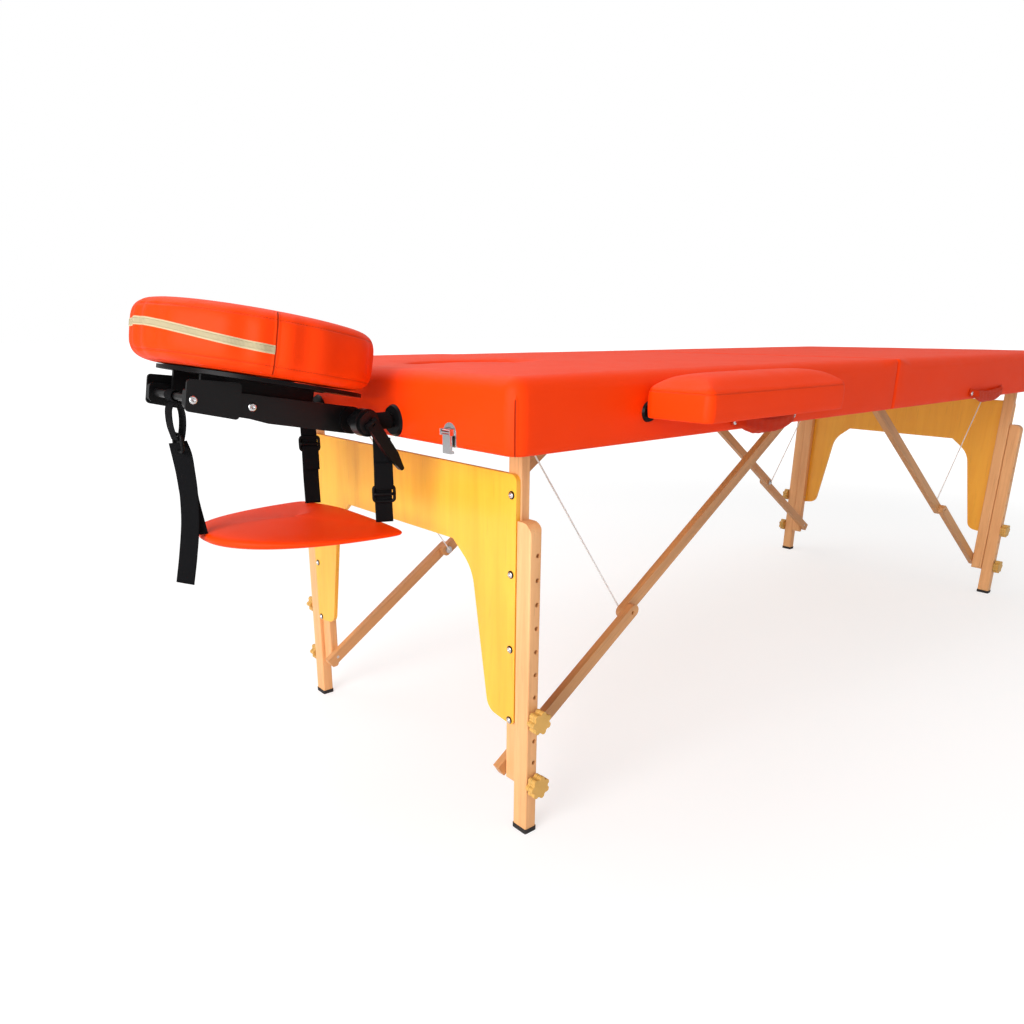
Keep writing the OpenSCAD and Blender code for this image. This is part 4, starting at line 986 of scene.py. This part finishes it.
class TABLE_OT_armrests(DressPiece, bpy.types.Operator):
    """Makes the two armrest pads"""

    bl_idname = "massage_table.armrests"
    bl_label = "Armrest pads"

    def execute(self, context):
        for side, sign in (("near", -1), ("far", 1)):
            lo, hi = np.array(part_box(side + "_armrest_pad"))
            near_y, far_y = sorted((abs(lo[1]), abs(hi[1])))
            z0 = lo[2] - BOARD_T
            low, high = np.array([-hi[0], near_y]), np.array([-lo[0], far_y])
            radii = (62 * MM, 16 * MM, 11.5 * MM, 11.5 * MM)
            spots, normals, run = rounded_outline(low, high, radii, 8 * MM, 12)[:3]
            # Insets and heights in millimetres, up from the board's underside. Further in, the
            # rows run straight to a short spine while a dome rises: 1 less the sixth power of the
            # place along the pad, times 1 less the square of that across it, to the power 0.55.
            profile = [(10, 0), (4, 0), (0.8, 0.6), (0, 2.5), (-0.6, 9), (-1, 18), (-0.8, 27)]
            profile += [(0, 32.5), (0.6, 34.5), (1.4, 36.2), (2.6, 38), (4.6, 40), (7.8, 42.2)]
            stitch_z, top_z, dome_h = 34.5, 42.2 * MM, 14.2 * MM
            rows, stitch = [], []
            for inset, height in profile:
                inset = inset * MM
                border = np.clip(spots - normals * inset, low + inset, high - inset)
                rows.append(at_height(border, z0 + height * MM))
                stitch.append(np.full(len(spots), (height - stitch_z) * 1.6))
            spine = np.clip(border, low + 52 * MM, high - 52 * MM)
            middle = (near_y + far_y) / 2
            spine[:, 1] = np.clip(spine[:, 1], middle - 2 * MM, middle + 2 * MM)
            for s in np.linspace(0, 1, 22)[1:]:
                flat = border + (spine - border) * s
                a, b = (2 * (flat - low) / (high - low) - 1).T
                dome = np.clip((1 - np.abs(a) ** 6) * (1 - b**2), 0, 1) ** 0.55
                rows.append(at_height(flat, z0 + top_z + dome_h * dome * (1 - (1 - s) ** 6)))
                stitch.append(np.full(len(spots), FAR))
            points = np.array(rows)
            points[:, :, 0] *= -1
            points[:, :, 1] *= sign
            order = slice(None, None, -sign)
            runs = np.broadcast_to(run / MM, points.shape[:2])[:, order]
            marks = {"stitch": np.clip(stitch, -FAR, FAR)[:, order], "run": runs}
            name, body = side + "_armrest_cover", side + "_armrest"
            piece = surface(name, points[:, order], "vinyl_stitched", body, marks=marks)
            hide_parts(side + "_armrest_pad")
        return {"FINISHED"}


class TABLE_OT_handles(DressPiece, bpy.types.Operator):
    """Makes the two soft carrying handles and their screws"""

    bl_idname = "massage_table.handles"
    bl_label = "Carrying handles"

    def execute(self, context):
        for side in ("head", "foot"):
            lo, hi = np.array(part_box(side + "_handle"))
            body = side + "_half"
            x0, x1, face = lo[0] - 6 * MM, hi[0] + 6 * MM, hi[1]
            rivet_z, sag = EDGE_Z + 16 * MM, 13 * MM
            # An oval profile carried along a parabola, thin at both ends. Pleats and wrinkles,
            # waves round it and along it, scale the profile.
            s = np.linspace(0, 1, 60)[:, None]
            ends = np.minimum(s, 1 - s)
            grip = smooth(ends / 0.14)
            wide = 7.2 * MM + 4.2 * MM * smooth((ends - 0.06) / 0.25)
            deep = 1.2 * MM + 5 * MM * grip
            path_y = face - 1.6 * MM - deep
            path_z = rivet_z - sag * (1 - (2 * s - 1) ** 2)
            angle = full_turn(28)
            up, out = blunt(np.sin(angle), 0.7), blunt(np.cos(angle), 0.7)
            pleat = np.cos(angle * 5 + 1.5 * np.sin(s * 7)) * grip
            wrinkle = 1 + 0.10 * pleat + 0.03 * np.sin(s * 60) * np.cos(angle * 2)
            y, z = path_y + deep * out * wrinkle, path_z + wide * up * wrinkle
            points = np.stack(np.broadcast_arrays(x0 + (x1 - x0) * s, y, z), axis=-1)
            # The handle's vinyl is painted darker than the covers, a painted shade
            piece = surface(side + "_handle_cover", points, "vinyl_worn", body)
            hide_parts(side + "_handle")
            for k, x in enumerate((x0 + 7 * MM, x1 - 7 * MM)):
                centre = (x, face - 5.2 * MM, rivet_z - 4 * MM)
                dome_screw(f"{side}_handle_screw_{k}", centre, (0, -1, 0), 4.2 * MM, body)
        return {"FINISHED"}


class TABLE_OT_fittings(DressPiece, bpy.types.Operator):
    """Makes the screws of the cradle's arms and of the end panels, with a black ring round each panel
    screw as painted shade
    """

    bl_idname = "massage_table.fittings"
    bl_label = "Screws"

    def execute(self, context):
        screws = [("tie", (-1.1870, 72.7 * MM, 0.6095), 5.2 * MM)]
        screws += [("pivot", (-PLATE_U, 71.2 * MM, PLATE_Z), 5.6 * MM)]
        for end, side in (("near", -1), ("far", 1)):
            for kind, (x, y, z), radius in screws:
                name = f"{end}_{kind}_screw"
                dome_screw(name, (x, side * y, z), (0, side, 0), radius, "cradle_arm_set")
        for end, way in (("head", -1), ("foot", 1)):
            lo, hi = np.array(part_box(end + "_end_panel"))
            face = lo[0] if way < 0 else hi[0]
            column = np.linspace(hi[2] - 27 * MM, lo[2] + 6 * MM, 4)
            domes, shade_rings, plastic = [], [], "black_plastic"
            for k, (side, z) in enumerate((s, z) for s in (-1, 1) for z in column):
                y = side * (hi[1] - 9 * MM)
                centre = (face + way * 1.3 * MM, y, z)
                domes.append(dome_screw(f"dome_{k}", centre, (way, 0, 0), 4.1 * MM, None))
                # A thin black ring round each screw head, a painted shade at its edge
                ring = arc_path((face + way * 0.4 * MM, y, z), (0, 1, 0), 4.6 * MM, full_turn(24))
                shade_rings.append(tube(f"rim_{k}", ring, 0.9 * MM, plastic, True, 8))
            join(end + "_panel_screws", domes, end + "_legs")
            join(end + "_panel_screw_rims", shade_rings, end + "_legs")
        return {"FINISHED"}


class TABLE_OT_stage(DressPiece, bpy.types.Operator):
    """Makes the floor, the lamps and the camera"""

    bl_idname = "massage_table.stage"
    bl_label = "Stage"

    def execute(self, context):
        scene = context.scene
        tone = scene.stage
        scene.view_settings.view_transform = "Standard"
        mesh = bpy.data.meshes.new("floor")
        reach = 40.0
        square = [[-reach, -reach, 0], [-reach, reach, 0], [reach, -reach, 0], [reach, reach, 0]]
        mesh.from_pydata(square, [], [[0, 2, 3, 1]])
        mesh.materials.append(self.floor_finish(tuple(tone.floor)))
        floor = bpy.data.objects.new("floor", mesh)
        scene.collection.objects.link(floor)
        # The room lights the table softly, and the camera sees it white
        world = bpy.data.worlds.new("studio")
        world.use_nodes = True
        scene.world = world
        tree = world.node_tree
        path = tree.nodes.new("ShaderNodeLightPath")
        mixer = tree.nodes.new("ShaderNodeMix")
        tree.links.new(path.outputs["Is Camera Ray"], mixer.inputs[0])
        mixer.inputs[2].default_value = tone.sky
        mixer.inputs[3].default_value = 1.0
        tree.links.new(mixer.outputs[0], tree.nodes["Background"].inputs["Strength"])
        tree.nodes["Background"].inputs["Color"].default_value = (1, 1, 1, 1)
        self.lamp("key", tone.key, 2.2, (-4.0, -1.05, 1.6), (-0.8, 0, 0.45))
        self.lamp("fill", tone.fill, 3.0, (1.2, -4.0, 1.6), (0.2, 0, 0.4))
        self.lamp("top", tone.fill * 6.0, 3.4, (-0.5, 1.2, 3.2), (-0.4, 0, 0.5))
        self.camera(scene)
        return {"FINISHED"}

    def floor_finish(self, tint):
        """A matt floor that glows white to the camera, and less so near the table.

        So the background is white, and the table keeps a soft shadow.
        """
        g = Graph("studio_floor", Roughness=0.9)
        camera_ray = g.node("ShaderNodeLightPath", out="Is Camera Ray")
        fade = g.noise(g.place(), 0.6, 1.0)
        g.finish(Base_Color=g.mix(fade * 0.1, tint, (0.86, 0.86, 0.86)))
        white = g.node("ShaderNodeEmission", values={"Color": (1, 1, 1), "Strength": 1.17})
        away = g.node("ShaderNodeVectorMath", {"operation": "LENGTH"}, {0: g.place()}, out="Value")
        glow = camera_ray * (1 - away.below(1.5, 2.0) * 0.45)
        matt = Wire(g, g.shader.outputs[0])
        shade = g.node("ShaderNodeMixShader", values={0: glow, 1: matt, 2: white})
        g.put(g.nodes["Material Output"].inputs["Surface"], shade)
        return g.material

    def lamp(self, name, power, size, place, aim):
        """A square soft lamp at place that points at aim."""
        data = bpy.data.lights.new(name, "AREA")
        data.energy = power
        data.size = size
        lamp = bpy.data.objects.new(name, data)
        lamp.location = place
        toward = Vector(aim) - lamp.location
        lamp.rotation_euler = toward.to_track_quat("-Z", "Y").to_euler()
        bpy.context.scene.collection.objects.link(lamp)

    def camera(self, scene):
        """A camera from the fit to the photograph: a yaw, a downward pitch and a small roll.

        The focal length and the optical middle were fitted in pixels of the 1024 wide photograph.
        """
        yaw, pitch, roll = 0.69298, 0.31023, 0.00231
        pixels, focal, middle_x, middle_y = 1024, 791.96, 489.09, 582.49
        level = math.cos(pitch)
        ahead = np.array([math.sin(yaw) * level, math.cos(yaw) * level, -math.sin(pitch)])
        right = np.cross(ahead, [0, 0, 1])
        right /= np.linalg.norm(right)
        up = np.cross(right, ahead)
        right, up = (
            right * math.cos(roll) + up * math.sin(roll),
            -right * math.sin(roll) + up * math.cos(roll),
        )
        data = bpy.data.cameras.new("camera")
        data.sensor_width = 36
        data.lens = focal / pixels * data.sensor_width
        data.shift_x = 0.5 - middle_x / pixels
        data.shift_y = middle_y / pixels - 0.5
        data.clip_end = 100
        camera = bpy.data.objects.new("camera", data)
        turn = Matrix((right, up, -ahead)).transposed().to_4x4()
        camera.matrix_world = Matrix.Translation((-1.5253, -1.0223, 0.6899)) @ turn
        scene.collection.objects.link(camera)
        scene.camera = camera


# Panel and run


class TABLE_PT_panel(bpy.types.Panel):
    """The sidebar panel"""

    bl_idname = "TABLE_PT_panel"
    bl_label = "Massage table"
    bl_space_type = "VIEW_3D"
    bl_region_type = "UI"
    bl_category = "Table"

    def draw(self, context):
        for key, group in GROUPS.items():
            box = self.layout.box()
            for field in group.__annotations__:
                box.prop(getattr(context.scene, key), field)
        for operator in OPERATORS:
            self.layout.operator(operator.bl_idname)


GROUPS = {
    "vinyl": VinylSettings,
    "wood": WoodSettings,
    "fittings": FittingSettings,
    "stage": StageSettings,
}
OPERATORS = (
    TABLE_OT_wood,
    TABLE_OT_covers,
    TABLE_OT_face_cushion,
    TABLE_OT_arm_sling,
    TABLE_OT_armrests,
    TABLE_OT_handles,
    TABLE_OT_fittings,
    TABLE_OT_stage,
)


def register():
    for group in GROUPS.values():
        bpy.utils.register_class(group)
    for key, group in GROUPS.items():
        setattr(bpy.types.Scene, key, PointerProperty(type=group))
    for operator in OPERATORS:
        bpy.utils.register_class(operator)
    bpy.utils.register_class(TABLE_PT_panel)


def unregister():
    bpy.utils.unregister_class(TABLE_PT_panel)
    for operator in reversed(OPERATORS):
        bpy.utils.unregister_class(operator)
    for key, group in reversed(GROUPS.items()):
        delattr(bpy.types.Scene, key)
        bpy.utils.unregister_class(group)


def main():
    """Registers the add-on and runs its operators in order."""
    register()
    for operator in OPERATORS:
        area, action = operator.bl_idname.split(".")
        getattr(getattr(bpy.ops, area), action)()


if __name__ == "__main__":
    main()
